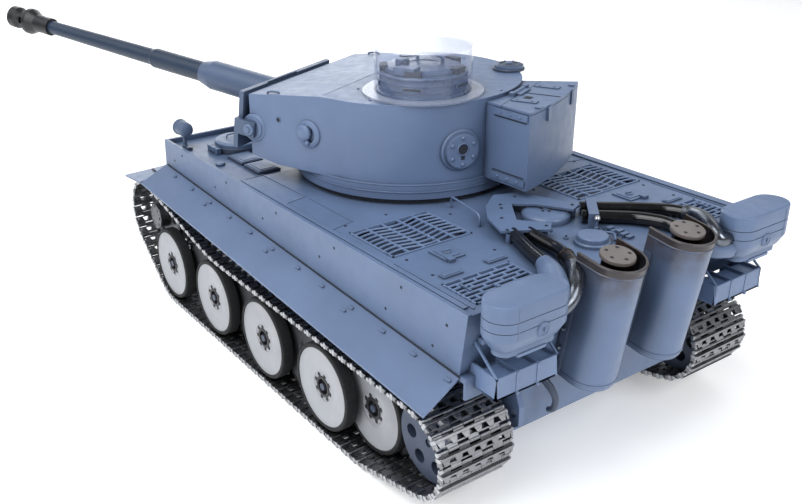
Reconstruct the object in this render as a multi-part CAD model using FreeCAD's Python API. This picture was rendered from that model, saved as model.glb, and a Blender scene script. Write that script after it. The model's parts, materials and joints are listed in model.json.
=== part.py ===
"""A 1/16 scale radio-controlled heavy tank, modelled as the separate pieces it comes apart into.

Working frame: +X forward (nose), +Y left, +Z up. X = 0 is the superstructure's rear edge, Y = 0 the
hull's centre line and Z = 0 the ground under the tracks. The last step moves everything so that the
origin is the bottom centre of the whole model's bounding box. All sizes are in millimetres.
"""

import FreeCAD, Part
import math
import os

V = FreeCAD.Vector
ORIGIN = V(0, 0, 0)
X_AXIS = V(1, 0, 0)
Y_AXIS = V(0, 1, 0)
Z_AXIS = V(0, 0, 1)

# Clearances
RUN_GAP = 0.06        # radial play of a shaft in its bore
BODY_GAP = 0.35       # between surfaces of pieces that move past each other

# Running gear
AXLE_PITCH = 32.2
AXLE_COUNT = 8
FIRST_AXLE_X = 295.6
AXLE_Z = 28.7
TYRE_R = 24.9
DISC_R = 22.5
AXLE_R = 2.0
HUB_R = 6.2
OUTER_PAIR = ((69.0, 76.0), (101.0, 108.5))   # |y| spans of the discs on axles 1, 3, 5, 7
INNER_PAIR = ((78.0, 85.0), (91.5, 98.5))     # and on axles 2, 4, 6, 8
SPROCKET_X, SPROCKET_Z = 327.0, 53.2
SPROCKET_PITCH_R = 25.9
SPROCKET_TEETH = 20
SPROCKET_TIP_R = 24.0
SPROCKET_ROOT_R = 22.0
SPROCKET_RINGS = ((79.5, 82.5), (93.5, 96.5))
IDLER_X, IDLER_Z = 24.0, 35.2
IDLER_PITCH_R = 22.3
IDLER_R = 20.7

# Track
LINK_COUNT = 94
TRACK_Y = 88.2
TRACK_WIDTH = 43.6
KNUCKLE_R = 1.2
PIN_R = 0.55
GROUSER_DEPTH = 2.2
HORN_WIDTH = 4.0
HORN_HEIGHT = 6.5
RUN_BEND_X, RUN_BEND_Z, RUN_BEND_R = 215.0, 57.9, 120.0   # where the top run starts to climb

# Hull
BELLY_Z = 32.0
TUB_HALF = 60.0
WALL = 2.2
SUPER_LENGTH = 310.0
SUPER_HALF = 98.0
SPONSON_Z = 82.0
RIM_Z = 113.2
DECK_Z = 112.6
FRONT_DECK_Z = 110.0
FRONT_DECK_X = 207.0
DECK_THICK = 2.0
TAIL_SLOPE = math.radians(8.0)
MUDGUARD_Y = 117.8

# Turret, in its own frame: ring axis at the origin, gun along +X
RING_X = 168.9
TRAVERSE_AT_REST = 24.5       # degrees to the left
ELEVATION_AT_REST = 7.5       # degrees up
TURRET_R = 66.0
TURRET_BASE_Z = 115.6
TURRET_WALL_Z = 123.2
TURRET_ROOF_Z = 168.0
TURRET_FRONT_X = 72.4
TURRET_FRONT_HALF = 59.2
TURRET_BREAK_X = 20.6
TURRET_FRONT_ROOF_Z = 162.4
SPIGOT_R = 57.0
TRUNNION_X, TRUNNION_Z = 70.0, 142.8
TRUNNION_R = 2.0
CUPOLA_X, CUPOLA_Y = -23.8, 27.4
CUPOLA_R = 25.0
CUPOLA_TOP = 183.5
COVER_R = 26.8
COVER_FLANGE_R = 33.4
COVER_TOP = 193.4
BIN_BACK_X = -90.0
BIN_HALF_FRONT, BIN_HALF_BACK = 24.0, 37.0
BIN_BOTTOM_Z, BIN_TOP_Z = 123.4, 166.0


# ---------------------------------------------------------------- shape helpers

def block(x0, x1, y0, y1, z0, z1):
    """A box between two corners."""
    return Part.makeBox(x1 - x0, y1 - y0, z1 - z0, V(x0, y0, z0))


def rod(radius, start, end):
    """A round bar between two points."""
    axis = V(*end) - V(*start)
    return Part.makeCylinder(radius, axis.Length, V(*start), axis)


def tube(outer, inner, start, end):
    """A round tube between two points."""
    return rod(outer, start, end).cut(rod(inner, start, end))


def cone(radius_start, radius_end, start, end):
    """A tapered round bar between two points."""
    axis = V(*end) - V(*start)
    return Part.makeCone(radius_start, radius_end, axis.Length, V(*start), axis)


def prism(points, along):
    """A closed outline pushed along a vector."""
    corners = [V(*p) for p in points]
    face = Part.Face(Part.makePolygon(corners + corners[:1]))
    return face.extrude(V(*along))


def profile_xz(points, y0, y1):
    """An outline of (x, z) points made solid between two widths."""
    return prism([(x, y0, z) for x, z in points], (0, y1 - y0, 0))


def sloped_panel(quad_a, quad_b):
    """A panel with flat ends at two four-cornered sections and straight edges between them."""
    wires = [Part.makePolygon([V(*p) for p in quad] + [V(*quad[0])]) for quad in (quad_a, quad_b)]
    return Part.makeLoft(wires, True, True)


def mirrored(shape):
    """The same piece on the right-hand side."""
    return shape.mirror(ORIGIN, Y_AXIS)


def both_sides(shapes):
    """A list of left-hand pieces followed by their right-hand twins."""
    return shapes + [mirrored(s) for s in shapes]


def sided(side, shapes):
    """Left-hand pieces, or their mirror images for the right-hand side."""
    return shapes if side == "left" else [mirrored(s) for s in shapes]


def on_turret(shape):
    """Puts a shape made in the turret's frame on the hull, turned as the turret rests."""
    placed = shape.copy()
    placed.rotate(ORIGIN, Z_AXIS, TRAVERSE_AT_REST)
    placed.translate(V(RING_X, 0, 0))
    return placed


def on_gun(shape):
    """Raises a shape made along a level gun to its rest elevation, then puts it on the turret."""
    raised = shape.copy()
    raised.rotate(V(TRUNNION_X, 0, TRUNNION_Z), Y_AXIS, -ELEVATION_AT_REST)
    return on_turret(raised)


def hose(points, radius):
    """A round hose: straight runs joined by tangent arcs as large as the runs allow."""
    pts = [V(*p) for p in points]
    edges = []
    last = pts[0]
    for before, corner, after in zip(pts, pts[1:], pts[2:]):
        to_before = (before - corner).normalize()
        to_after = (after - corner).normalize()
        reach = 0.45 * min((before - corner).Length, (after - corner).Length)
        half_turn = (math.pi - to_before.getAngle(to_after)) / 2
        bend = reach / math.tan(half_turn)
        enter = corner + to_before * reach
        leave = corner + to_after * reach
        inward = (to_before + to_after).normalize()
        middle = corner + inward * (bend / math.cos(half_turn) - bend)
        edges.append(Part.LineSegment(last, enter).toShape())
        edges.append(Part.Arc(enter, middle, leave).toShape())
        last = leave
    edges.append(Part.LineSegment(last, pts[-1]).toShape())
    path = Part.Wire(edges)
    section = Part.Wire(Part.makeCircle(radius, pts[0], pts[1] - pts[0]))
    return path.makePipeShell([section], True, False)


# ---------------------------------------------------------------- running gear

def axle_x(number):
    """How far forward an axle is; axle 1 is the front one."""
    return FIRST_AXLE_X - (number - 1) * AXLE_PITCH


def disc_pair(number):
    """The |y| spans of an axle's two discs: odd axles straddle the even ones."""
    return OUTER_PAIR if number % 2 else INNER_PAIR


def road_wheel(number):
    """Two dished discs on one hub, each with its rubber tyre."""
    x = axle_x(number)
    (near0, near1), (far0, far1) = disc_pair(number)
    hub = rod(HUB_R, (x, near0, AXLE_Z), (x, far1, AXLE_Z))
    dish_r = 19.0
    dish_depth = 2.4
    for y0, y1 in ((near0, near1), (far0, far1)):
        disc = rod(DISC_R, (x, y0, AXLE_Z), (x, y1, AXLE_Z))
        for face, inward in ((y0, dish_depth), (y1, -dish_depth)):
            disc = disc.cut(cone(dish_r, HUB_R + 2, (x, face, AXLE_Z), (x, face + inward, AXLE_Z)))
        hub = hub.fuse(disc)
    hub = hub.cut(rod(AXLE_R + RUN_GAP, (x, near0 - 1, AXLE_Z), (x, far1 + 1, AXLE_Z)))
    tyres = [tube(TYRE_R, DISC_R, (x, y0, AXLE_Z), (x, y1, AXLE_Z)) for y0, y1 in disc_pair(number)]
    return [hub.removeSplitter()] + tyres


def toothed_ring(y0, y1):
    """One of the sprocket's two rings, with tapered teeth."""
    outline = []
    step = 2 * math.pi / SPROCKET_TEETH
    for tooth in range(SPROCKET_TEETH):
        for radius, share in ((SPROCKET_ROOT_R, 0.0), (SPROCKET_ROOT_R, 0.28),
                              (SPROCKET_TIP_R, 0.42), (SPROCKET_TIP_R, 0.86)):
            angle = (tooth + share) * step
            outline.append((SPROCKET_X + radius * math.cos(angle), SPROCKET_Z + radius * math.sin(angle)))
    return profile_xz(outline, y0, y1)


def drive_sprocket():
    """Two toothed rings with lightening holes, a drum between them, a cap and the drive shaft."""
    drum_r = 9.0
    shaft_r = 3.0
    cap_y = 103.5
    hole_count = 10
    hole_r = 3.2
    hole_ring_r = 15.5
    centre = (SPROCKET_X, SPROCKET_Z)
    wheel = rod(drum_r, (centre[0], SPROCKET_RINGS[0][0], centre[1]), (centre[0], cap_y, centre[1]))
    for y0, y1 in SPROCKET_RINGS:
        ring = toothed_ring(y0, y1)
        for hole in range(hole_count):
            angle = 2 * math.pi * hole / hole_count
            x = centre[0] + hole_ring_r * math.cos(angle)
            z = centre[1] + hole_ring_r * math.sin(angle)
            ring = ring.cut(rod(hole_r, (x, y0 - 1, z), (x, y1 + 1, z)))
        wheel = wheel.fuse(ring)
    shaft = rod(shaft_r, (centre[0], 46.0, centre[1]), (centre[0], SPROCKET_RINGS[0][0] + 5, centre[1]))
    return [wheel.cut(shaft), shaft]


def final_drive():
    """The round housing on the hull side that carries the sprocket's shaft."""
    housing = cone(13.5, 11.0, (SPROCKET_X, TUB_HALF, SPROCKET_Z), (SPROCKET_X, 78.6, SPROCKET_Z))
    bore = rod(3.0 + RUN_GAP, (SPROCKET_X, TUB_HALF - 5, SPROCKET_Z), (SPROCKET_X, 80.0, SPROCKET_Z))
    return housing.cut(bore)


def idler_wheel():
    """Two plain rims on one hub, which run beside the track's guide horns."""
    (near0, _), (_, far1) = INNER_PAIR
    wheel = rod(HUB_R, (IDLER_X, near0, IDLER_Z), (IDLER_X, far1, IDLER_Z))
    hole_count = 6
    for y0, y1 in INNER_PAIR:
        rim = rod(IDLER_R, (IDLER_X, y0, IDLER_Z), (IDLER_X, y1, IDLER_Z))
        for hole in range(hole_count):
            angle = 2 * math.pi * hole / hole_count
            x = IDLER_X + 12.5 * math.cos(angle)
            z = IDLER_Z + 12.5 * math.sin(angle)
            rim = rim.cut(rod(3.6, (x, y0 - 1, z), (x, y1 + 1, z)))
        wheel = wheel.fuse(rim)
    return [wheel.cut(rod(AXLE_R + RUN_GAP, (IDLER_X, near0 - 1, IDLER_Z), (IDLER_X, far1 + 1, IDLER_Z)))]


def swing_arms():
    """Eight suspension arms with their wheel axles, and the idler's arm."""
    arms = []
    lead = 13.0
    pivot_z = 38.0
    arm_r = 4.2
    y0, y1 = TUB_HALF, 65.0
    stations = [(axle_x(n), AXLE_Z, disc_pair(n)[1][1] - 0.8) for n in range(1, AXLE_COUNT + 1)]
    stations.append((IDLER_X, IDLER_Z, INNER_PAIR[1][1] - 0.8))
    for x, z, axle_end in stations:
        pivot_x = x + lead
        arm = rod(arm_r, (x, y0 + 0.5, z), (x, y1, z))
        arm = arm.fuse(rod(arm_r, (pivot_x, y0, pivot_z), (pivot_x, y1, pivot_z)))
        along = V(pivot_x - x, 0, pivot_z - z).normalize()
        side = V(-along.z, 0, along.x) * 2.6
        corners = [V(x, y0 + 0.5, z) + side, V(x, y0 + 0.5, z) - side,
                   V(pivot_x, y0 + 0.5, pivot_z) - side, V(pivot_x, y0 + 0.5, pivot_z) + side]
        arm = arm.fuse(prism([tuple(c) for c in corners], (0, y1 - y0 - 0.5, 0)))
        arm = arm.fuse(rod(AXLE_R, (x, y1 - 1, z), (x, axle_end, z)))
        arms.append(arm.removeSplitter())
    return arms


def track_circles():
    """The circles that the pin line wraps, in running order; a negative radius bends outward."""
    wheel_r = AXLE_Z - GROUSER_DEPTH
    return [(IDLER_X, IDLER_Z, IDLER_PITCH_R),
            (axle_x(AXLE_COUNT), AXLE_Z, wheel_r),
            (axle_x(1), AXLE_Z, wheel_r),
            (SPROCKET_X, SPROCKET_Z, SPROCKET_PITCH_R),
            (RUN_BEND_X, RUN_BEND_Z + RUN_BEND_R, -RUN_BEND_R)]


def track_pins():
    """Pin places (x, z) at equal steps round the loop, in running order."""
    circles = track_circles()
    headings = []
    for (x1, z1, r1), (x2, z2, r2) in zip(circles, circles[1:] + circles[:1]):
        reach = math.hypot(x2 - x1, z2 - z1)
        headings.append(math.atan2(z2 - z1, x2 - x1) + math.asin((r1 - r2) / reach))
    pieces = []
    for i, (x, z, r) in enumerate(circles):
        turn = headings[i] - headings[i - 1]
        turn = (turn + math.pi) % (2 * math.pi) - math.pi
        pieces.append(("arc", x, z, r, headings[i - 1], turn, abs(r * turn)))
        x2, z2, r2 = circles[(i + 1) % len(circles)]
        h = headings[i]
        start = (x + r * math.sin(h), z - r * math.cos(h))
        end = (x2 + r2 * math.sin(h), z2 - r2 * math.cos(h))
        pieces.append(("run", start, end, math.hypot(end[0] - start[0], end[1] - start[1])))
    total = sum(piece[-1] for piece in pieces)
    pins = []
    for k in range(LINK_COUNT):
        left = total * k / LINK_COUNT
        for piece in pieces:
            if left <= piece[-1]:
                break
            left -= piece[-1]
        share = left / piece[-1]
        if piece[0] == "arc":
            _, x, z, r, heading, turn, _ = piece
            angle = heading + turn * share
            pins.append((x + r * math.sin(angle), z - r * math.cos(angle)))
        else:
            _, start, end, _ = piece
            pins.append((start[0] + (end[0] - start[0]) * share, start[1] + (end[1] - start[1]) * share))
    return pins


def track_link(pitch):
    """One shoe between two pins, lying along +X with its inner face up."""
    half = TRACK_WIDTH / 2
    side_gap = 0.2
    fingers = 5
    finger = TRACK_WIDTH / fingers
    shoe = block(1.7, pitch - 1.7, -half, half, -KNUCKLE_R, 0.9)
    for k in range(fingers):
        pin_x = pitch if k % 2 else 0.0
        y0 = -half + k * finger + (side_gap if k else 0)
        y1 = -half + (k + 1) * finger - (side_gap if k < fingers - 1 else 0)
        web_x = pitch - 2.0 if k % 2 else 0.0
        shoe = shoe.fuse(rod(KNUCKLE_R, (pin_x, y0, 0), (pin_x, y1, 0)))
        shoe = shoe.fuse(block(web_x, web_x + 2.0, y0, y1, -0.8, 0.8))
    shoe = shoe.fuse(block(3.2, 4.9, -half, half, -GROUSER_DEPTH, -KNUCKLE_R))
    horn_y = HORN_WIDTH / 2
    shoe = shoe.fuse(block(2.4, 5.7, -horn_y, horn_y, 0.9, HORN_HEIGHT))
    for pin_x in (0.0, pitch):
        shoe = shoe.cut(rod(PIN_R + RUN_GAP, (pin_x, -half - 1, 0), (pin_x, half + 1, 0)))
    return shoe.removeSplitter()


def track():
    """All shoes of one closed track, and all its pins."""
    pins = track_pins()
    pitch = math.hypot(pins[1][0] - pins[0][0], pins[1][1] - pins[0][1])
    for here, there in zip(pins, pins[1:] + pins[:1]):
        pitch = min(pitch, math.hypot(there[0] - here[0], there[1] - here[1]))
    pattern = track_link(pitch)
    shoes = []
    for here, there in zip(pins, pins[1:] + pins[:1]):
        slope = math.degrees(math.atan2(there[1] - here[1], there[0] - here[0]))
        shoe = pattern.copy()
        shoe.rotate(ORIGIN, Y_AXIS, -slope)
        shoe.translate(V(here[0], TRACK_Y, here[1]))
        shoes.append(shoe)
    half = TRACK_WIDTH / 2
    bars = [rod(PIN_R, (x, TRACK_Y - half, z), (x, TRACK_Y + half, z)) for x, z in pins]
    return shoes, bars


# ---------------------------------------------------------------- hull

def lower_hull():
    """The open tub: belly, sloped tail, nose and side walls, with tow eyes at its four corners."""
    tail_x = (RIM_Z - BELLY_Z) * math.tan(TAIL_SLOPE)
    tail_top_x = (RIM_Z - SPONSON_Z) * math.tan(TAIL_SLOPE)
    outline = [(tail_x, BELLY_Z), (300, BELLY_Z), (334, 45), (345, 62), (341, 80),
               (SUPER_LENGTH, SPONSON_Z), (tail_top_x, SPONSON_Z)]
    inner = [(tail_x + WALL, BELLY_Z + WALL), (299, BELLY_Z + WALL), (332, 47), (342.5, 62), (338.6, 78),
             (SUPER_LENGTH - 4, SPONSON_Z - WALL), (SUPER_LENGTH - 4, SPONSON_Z + 1),
             (tail_top_x + WALL, SPONSON_Z + 1)]
    tub = profile_xz(outline, -TUB_HALF, TUB_HALF)
    tub = tub.cut(profile_xz(inner, -TUB_HALF + WALL, TUB_HALF - WALL))
    for side in (-1, 1):
        y0, y1 = sorted((side * (TUB_HALF - 3.2), side * TUB_HALF))
        ear = profile_xz([(330, 47), (352, 56), (352, 66), (343, 74)], y0, y1)
        ear = ear.cut(rod(TOW_EYE_R, (TOW_EYE_X, y0 - 1, TOW_EYE_Z), (TOW_EYE_X, y1 + 1, TOW_EYE_Z)))
        rear_ear = profile_xz([(tail_x + 3, 32), (tail_x - 7, 40), (tail_x - 7, 50), (tail_x - 2, 62)], y0, y1)
        rear_ear = rear_ear.cut(rod(TOW_EYE_R, (REAR_EYE_X, y0 - 1, REAR_EYE_Z), (REAR_EYE_X, y1 + 1, REAR_EYE_Z)))
        tub = tub.fuse(ear).fuse(rear_ear)
        tub = tub.cut(rod(3.0 + RUN_GAP, (SPROCKET_X, side * 50, SPROCKET_Z), (SPROCKET_X, side * 70, SPROCKET_Z)))
    return tub.cut(battery_opening()).cut(switch_opening()).removeSplitter()


TOW_EYE_R = 2.0
TOW_EYE_X, TOW_EYE_Z = 348.0, 61.0
REAR_EYE_X, REAR_EYE_Z = 8.4, 45.0

BATTERY_X0, BATTERY_X1 = 110.0, 186.0
BATTERY_HALF = 24.0
SWITCH_X0, SWITCH_X1 = 60.0, 72.0
SWITCH_HALF = 3.0
SWITCH_TRAVEL = 3.0


def battery_opening():
    """The hole in the belly through which the battery is changed."""
    return block(BATTERY_X0 + 4, BATTERY_X1 - 4, -BATTERY_HALF + 3, BATTERY_HALF - 3,
                 BELLY_Z - 1, BELLY_Z + WALL + 1)


def switch_opening():
    """The slot in the belly for the power switch's slider."""
    return block(SWITCH_X0, SWITCH_X1, -SWITCH_HALF, SWITCH_HALF, BELLY_Z - 1, BELLY_Z + WALL + 1)


def battery_door():
    """The belly door, which slides backwards in two rails."""
    z1 = BELLY_Z - BODY_GAP
    return block(BATTERY_X0, BATTERY_X1, -BATTERY_HALF, BATTERY_HALF, z1 - 1.6, z1)


def door_rails():
    """Two angle rails under the belly that hold the battery door."""
    rails = []
    gap = BODY_GAP
    z_door = BELLY_Z - gap - 1.6
    upright = block(BATTERY_X0, BATTERY_X1 - 2, BATTERY_HALF + gap, BATTERY_HALF + gap + 1.6,
                    z_door - gap - 1.2, BELLY_Z)
    lip = block(BATTERY_X0, BATTERY_X1 - 2, BATTERY_HALF - 1.6, BATTERY_HALF + gap + 0.8,
                z_door - gap - 1.2, z_door - gap)
    rails.append(upright.fuse(lip).removeSplitter())
    return both_sides(rails)


def power_switch():
    """The slider of the power switch."""
    x0 = SWITCH_X0 + 1
    knob = block(x0, x0 + 6, -SWITCH_HALF + BODY_GAP, SWITCH_HALF - BODY_GAP, BELLY_Z - 2.0, BELLY_Z + 3.0)
    plate = block(x0 - 0.6, x0 + 6.6, -SWITCH_HALF - 0.8, SWITCH_HALF + 0.8, BELLY_Z + 3.0, BELLY_Z + 4.2)
    return knob.fuse(plate).removeSplitter()


def upper_hull():
    """The superstructure: side plates, front plate, sloped tail plate, deck and sponson floors."""
    tail_drop = (RIM_Z - SPONSON_Z) * math.tan(TAIL_SLOPE)
    outer = [(tail_drop, SPONSON_Z), (SUPER_LENGTH + 2, SPONSON_Z), (SUPER_LENGTH, RIM_Z), (0, RIM_Z)]
    shell = profile_xz(outer, -SUPER_HALF, SUPER_HALF)
    inside_top = FRONT_DECK_Z - DECK_THICK
    shell = shell.cut(block(tail_drop + WALL, SUPER_LENGTH - WALL, -SUPER_HALF + WALL, SUPER_HALF - WALL,
                            SPONSON_Z + WALL, inside_top))
    shell = shell.cut(block(tail_drop + WALL, SUPER_LENGTH - WALL, -TUB_HALF + WALL, TUB_HALF - WALL,
                            SPONSON_Z - 1, inside_top))
    shell = shell.cut(block(tail_drop + WALL, FRONT_DECK_X, -SUPER_HALF + WALL, SUPER_HALF - WALL,
                            SPONSON_Z + WALL, DECK_Z - DECK_THICK))
    shell = shell.cut(block(-1, FRONT_DECK_X, -SUPER_HALF + WALL, SUPER_HALF - WALL, DECK_Z, RIM_Z + 1))
    shell = shell.cut(block(FRONT_DECK_X - 1, SUPER_LENGTH - WALL, -SUPER_HALF + WALL, SUPER_HALF - WALL,
                            FRONT_DECK_Z, RIM_Z + 1))
    shell = shell.cut(rod(SPIGOT_R + BODY_GAP, (RING_X, 0, FRONT_DECK_Z - 5), (RING_X, 0, RIM_Z + 1)))
    for x0, x1, y0, y1 in GRILLES:
        for side in (-1, 1):
            low, high = sorted((side * (y0 + 2), side * (y1 - 2)))
            shell = shell.cut(block(x0 + 2, x1 - 2, low, high, DECK_Z - DECK_THICK - 1, DECK_Z + 1))
    for side in (-1, 1):
        shell = shell.cut(rod(HATCH_HOLE_R, (HATCH_X, side * HATCH_Y, 100), (HATCH_X, side * HATCH_Y, RIM_Z)))
    ball = rod(MG_BALL_R + BODY_GAP, (SUPER_LENGTH - 6, MG_Y, MG_Z), (SUPER_LENGTH + 4, MG_Y, MG_Z))
    return shell.cut(ball).removeSplitter()


GRILLES = ((64.5, 104.0, 37.0, 89.0), (5.0, 31.0, 46.0, 89.0))   # x0, x1, |y| from, |y| to
HATCH_X, HATCH_Y = 272.0, 62.0
HATCH_R = 15.2
HATCH_HOLE_R = 12.6
HATCH_THICK = 3.6
MG_Y, MG_Z = -42.0, 97.5
MG_BALL_R = 6.0


def mudguard():
    """The sloped side panel and the flat panel over the front of the track."""
    thick = 1.2
    edge_y = MUDGUARD_Y
    root_y = SUPER_HALF
    rear = [(4, root_y, 81.7), (4, edge_y, 69.3), (4, edge_y, 69.3 - thick), (4, root_y, 81.7 - thick)]
    front = [(SUPER_LENGTH, root_y, 95.9), (SUPER_LENGTH, edge_y, 86.4),
             (SUPER_LENGTH, edge_y, 86.4 - thick), (SUPER_LENGTH, root_y, 95.9 - thick)]
    side_panel = sloped_panel(rear, front)
    inner_y = 62.0
    root = [(SUPER_LENGTH + 2.2, inner_y, 93.5), (SUPER_LENGTH + 2.2, edge_y, 86.4),
            (SUPER_LENGTH + 2.2, edge_y, 86.4 - thick), (SUPER_LENGTH + 2.2, inner_y, 93.5 - thick)]
    tip_x = 340.0
    tip = [(tip_x, inner_y, 85.2), (tip_x, edge_y, 83.7), (tip_x, edge_y, 83.7 - thick),
           (tip_x, inner_y, 85.2 - thick)]
    return [side_panel, sloped_panel(root, tip)]


def grille(x0, x1, y0, y1, along, across):
    """A frame with crossing bars, set flush in the deck."""
    z0, z1 = DECK_Z - 1.2, DECK_Z + 0.5
    frame = block(x0 + 2.0, x1 - 2.0, y0 + 2.0, y1 - 2.0, z0, z1)
    bar = 1.3
    pitch_x = (x1 - x0 - 4.0 - bar) / along
    pitch_y = (y1 - y0 - 4.0 - bar) / across
    for i in range(along):
        for j in range(across):
            hole_x = x0 + 2.0 + bar + i * pitch_x
            hole_y = y0 + 2.0 + bar + j * pitch_y
            frame = frame.cut(block(hole_x, hole_x + pitch_x - bar, hole_y, hole_y + pitch_y - bar,
                                    z0 - 1, z1 + 1))
    return frame


def deck_grilles():
    """Four engine-deck grilles: a large and a small one on each side."""
    (big, small) = GRILLES
    return both_sides([grille(*big, 9, 4), grille(*small, 6, 4)])


def engine_fittings():
    """What stands on the engine deck: dome, filler cap, bracket plates, posts and small covers."""
    top = DECK_Z
    pieces = []
    dome = rod(12.4, (58.3, -5.6, top), (58.3, -5.6, top + 3.2))
    pieces.append(dome.fuse(cone(12.4, 10.4, (58.3, -5.6, top + 3.2), (58.3, -5.6, top + 4.6))))
    pieces.append(rod(7.6, (22.0, -0.5, top), (22.0, -0.5, top + 4.0)))
    plate_z = top + 5.2
    plate = prism([(81, -9, plate_z), (50, -21, plate_z), (47, -13.5, plate_z), (64, -3.5, plate_z),
                   (72, 6, plate_z), (54, 19.5, plate_z), (41, 8.5, plate_z), (35.3, 14.5, plate_z),
                   (48, 35.5, plate_z), (65, 29, plate_z), (77, 19.5, plate_z), (87, 5, plate_z)], (0, 0, 1.4))
    for x, y in ((46, 32.5), (41.5, 14), (51, -18)):
        plate = plate.fuse(rod(1.3, (x, y, top), (x, y, plate_z)))
    pieces.append(plate.removeSplitter())
    staple = block(-11.3, 11.3, -2.5, 2.5, top, top + 9.0)
    staple = staple.cut(block(-10.0, 10.0, -3, 3, top - 1, top + 7.8))
    staple.rotate(ORIGIN, Z_AXIS, -43)
    staple.translate(V(40.7, -20.0, 0))
    pieces.append(staple)
    for side in (-1, 1):
        low, high = sorted((side * 59, side * 70))
        pieces.append(block(48, 60, low, high, top, top + 0.8))
        for y in (50.4, 77.4):
            low, high = sorted((side * (y - 6), side * (y + 6)))
            pieces.append(block(33.6, 37.2, low, high, top, top + 1.0))
    return pieces


def roof_fittings():
    """Small covers and the handle on the roof, beside the turret."""
    top = FRONT_DECK_Z
    pieces = []
    for x0, x1 in ((237.0, 256.0), (215.0, 234.0)):
        pieces.append(block(x0, x1, 63, 78, top, top + 1.8))
    return both_sides(pieces)


def handle():
    """The bent-wire lifting handle at the front left of the engine deck."""
    top = DECK_Z
    radius = 0.7
    points = [(99, 24, top), (99, 24, top + 4.0), (96, 25, top + 6.5), (74, 29, top + 6.5),
              (70, 29.6, top + 4.0), (70, 29.6, top)]
    return hose(points, radius)


def headlight():
    """A lamp on its bracket at the front corner of the roof."""
    x, y, z = 291.0, 91.6, FRONT_DECK_Z
    base = block(x - 4, x + 4, y - 3.5, y + 3.5, z, z + 2.0)
    post = rod(1.6, (x, y, z + 2), (x, y, z + 10))
    lamp_z = z + 14.0
    lamp = rod(5.6, (x - 4.5, y, lamp_z), (x + 6.5, y, lamp_z))
    lamp = lamp.fuse(Part.makeSphere(5.6, V(x - 4.5, y, lamp_z)))
    return [base.fuse(post).fuse(lamp).removeSplitter()]


def hull_hatch(side):
    """A round roof hatch with its hinge lug on the outer side."""
    y = side * HATCH_Y
    top = FRONT_DECK_Z
    lid = rod(HATCH_R, (HATCH_X, y, top + 0.4), (HATCH_X, y, top + 0.4 + HATCH_THICK))
    plug = rod(HATCH_HOLE_R - BODY_GAP, (HATCH_X, y, top - 1.4), (HATCH_X, y, top + 0.4))
    low, high = sorted((side * (HATCH_Y + HATCH_R - 2), side * (HATCH_HINGE_Y + 1.6)))
    lug = block(HATCH_X - 3, HATCH_X + 3, low, high, HATCH_HINGE_Z - 1.6, HATCH_HINGE_Z + 1.6)
    pin_hole = rod(HINGE_PIN_R + RUN_GAP, (HATCH_X - 9, side * HATCH_HINGE_Y, HATCH_HINGE_Z),
                   (HATCH_X + 9, side * HATCH_HINGE_Y, HATCH_HINGE_Z))
    return lid.fuse(plug).fuse(lug).cut(pin_hole).removeSplitter()


HATCH_HINGE_Y = HATCH_Y + HATCH_R + 2.4
HATCH_HINGE_Z = FRONT_DECK_Z + 2.6
HINGE_PIN_R = 0.6


def hatch_hinges():
    """The two hull hatches' hinge brackets, each with its pin."""
    pieces = []
    y, z = HATCH_HINGE_Y, HATCH_HINGE_Z
    for x in (HATCH_X - 5.2, HATCH_X + 5.2):
        ear = block(x - 1.6, x + 1.6, y - 1.6, y + 1.6, FRONT_DECK_Z, z + 1.6)
        pieces.append(ear.cut(rod(HINGE_PIN_R, (x - 3, y, z), (x + 3, y, z))))
    pieces.append(rod(HINGE_PIN_R, (HATCH_X - 6.8, y, z), (HATCH_X + 6.8, y, z)))
    return both_sides(pieces)


def hull_gun():
    """The bow machine gun: a ball with a barrel, and a pivot stub inside."""
    ball = Part.makeSphere(MG_BALL_R, V(SUPER_LENGTH, MG_Y, MG_Z))
    barrel = rod(1.3, (SUPER_LENGTH, MG_Y, MG_Z), (SUPER_LENGTH + 22, MG_Y, MG_Z))
    jacket = rod(2.0, (SUPER_LENGTH, MG_Y, MG_Z), (SUPER_LENGTH + 11, MG_Y, MG_Z))
    return ball.fuse(barrel).fuse(jacket).removeSplitter()


def hull_gun_mount():
    """The round armoured collar around the bow machine gun."""
    x0 = SUPER_LENGTH + 2.2
    collar = rod(10.0, (x0, MG_Y, MG_Z), (x0 + 3.0, MG_Y, MG_Z))
    return collar.cut(Part.makeSphere(MG_BALL_R + BODY_GAP, V(SUPER_LENGTH, MG_Y, MG_Z)))


def driver_visor():
    """The thick rectangular visor block on the front plate."""
    x0 = SUPER_LENGTH + 2.2
    visor = block(x0, x0 + 6, 30, 56, 92, 104)
    return visor.cut(block(x0 + 3, x0 + 7, 33, 53, 97.2, 98.8))


# ---------------------------------------------------------------- tail

MUFFLER_Y = 23.9
MUFFLER_BOTTOM = (-3.2, 59.1)
MUFFLER_TOP = (-13.4, 126.7)
SHIELD_R = 13.0


def muffler_point(share):
    """A point (x, y, z) on the left muffler's sloped centre line, from 0 at the bottom to 1 at the cap."""
    (x0, z0), (x1, z1) = MUFFLER_BOTTOM, MUFFLER_TOP
    return (x0 + (x1 - x0) * share, MUFFLER_Y, z0 + (z1 - z0) * share)


def muffler_shields():
    """The two round sheet shields, cut lower towards the hull at the top."""
    shell = tube(SHIELD_R, SHIELD_R - 0.9, muffler_point(0.0), muffler_point(0.93))
    floor = rod(SHIELD_R - 0.9, muffler_point(0.0), muffler_point(0.02))
    return both_sides([shell.fuse(floor).removeSplitter()])


def mufflers():
    """The mufflers inside the shields."""
    return both_sides([rod(8.6, muffler_point(0.03), muffler_point(0.9))])


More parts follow.
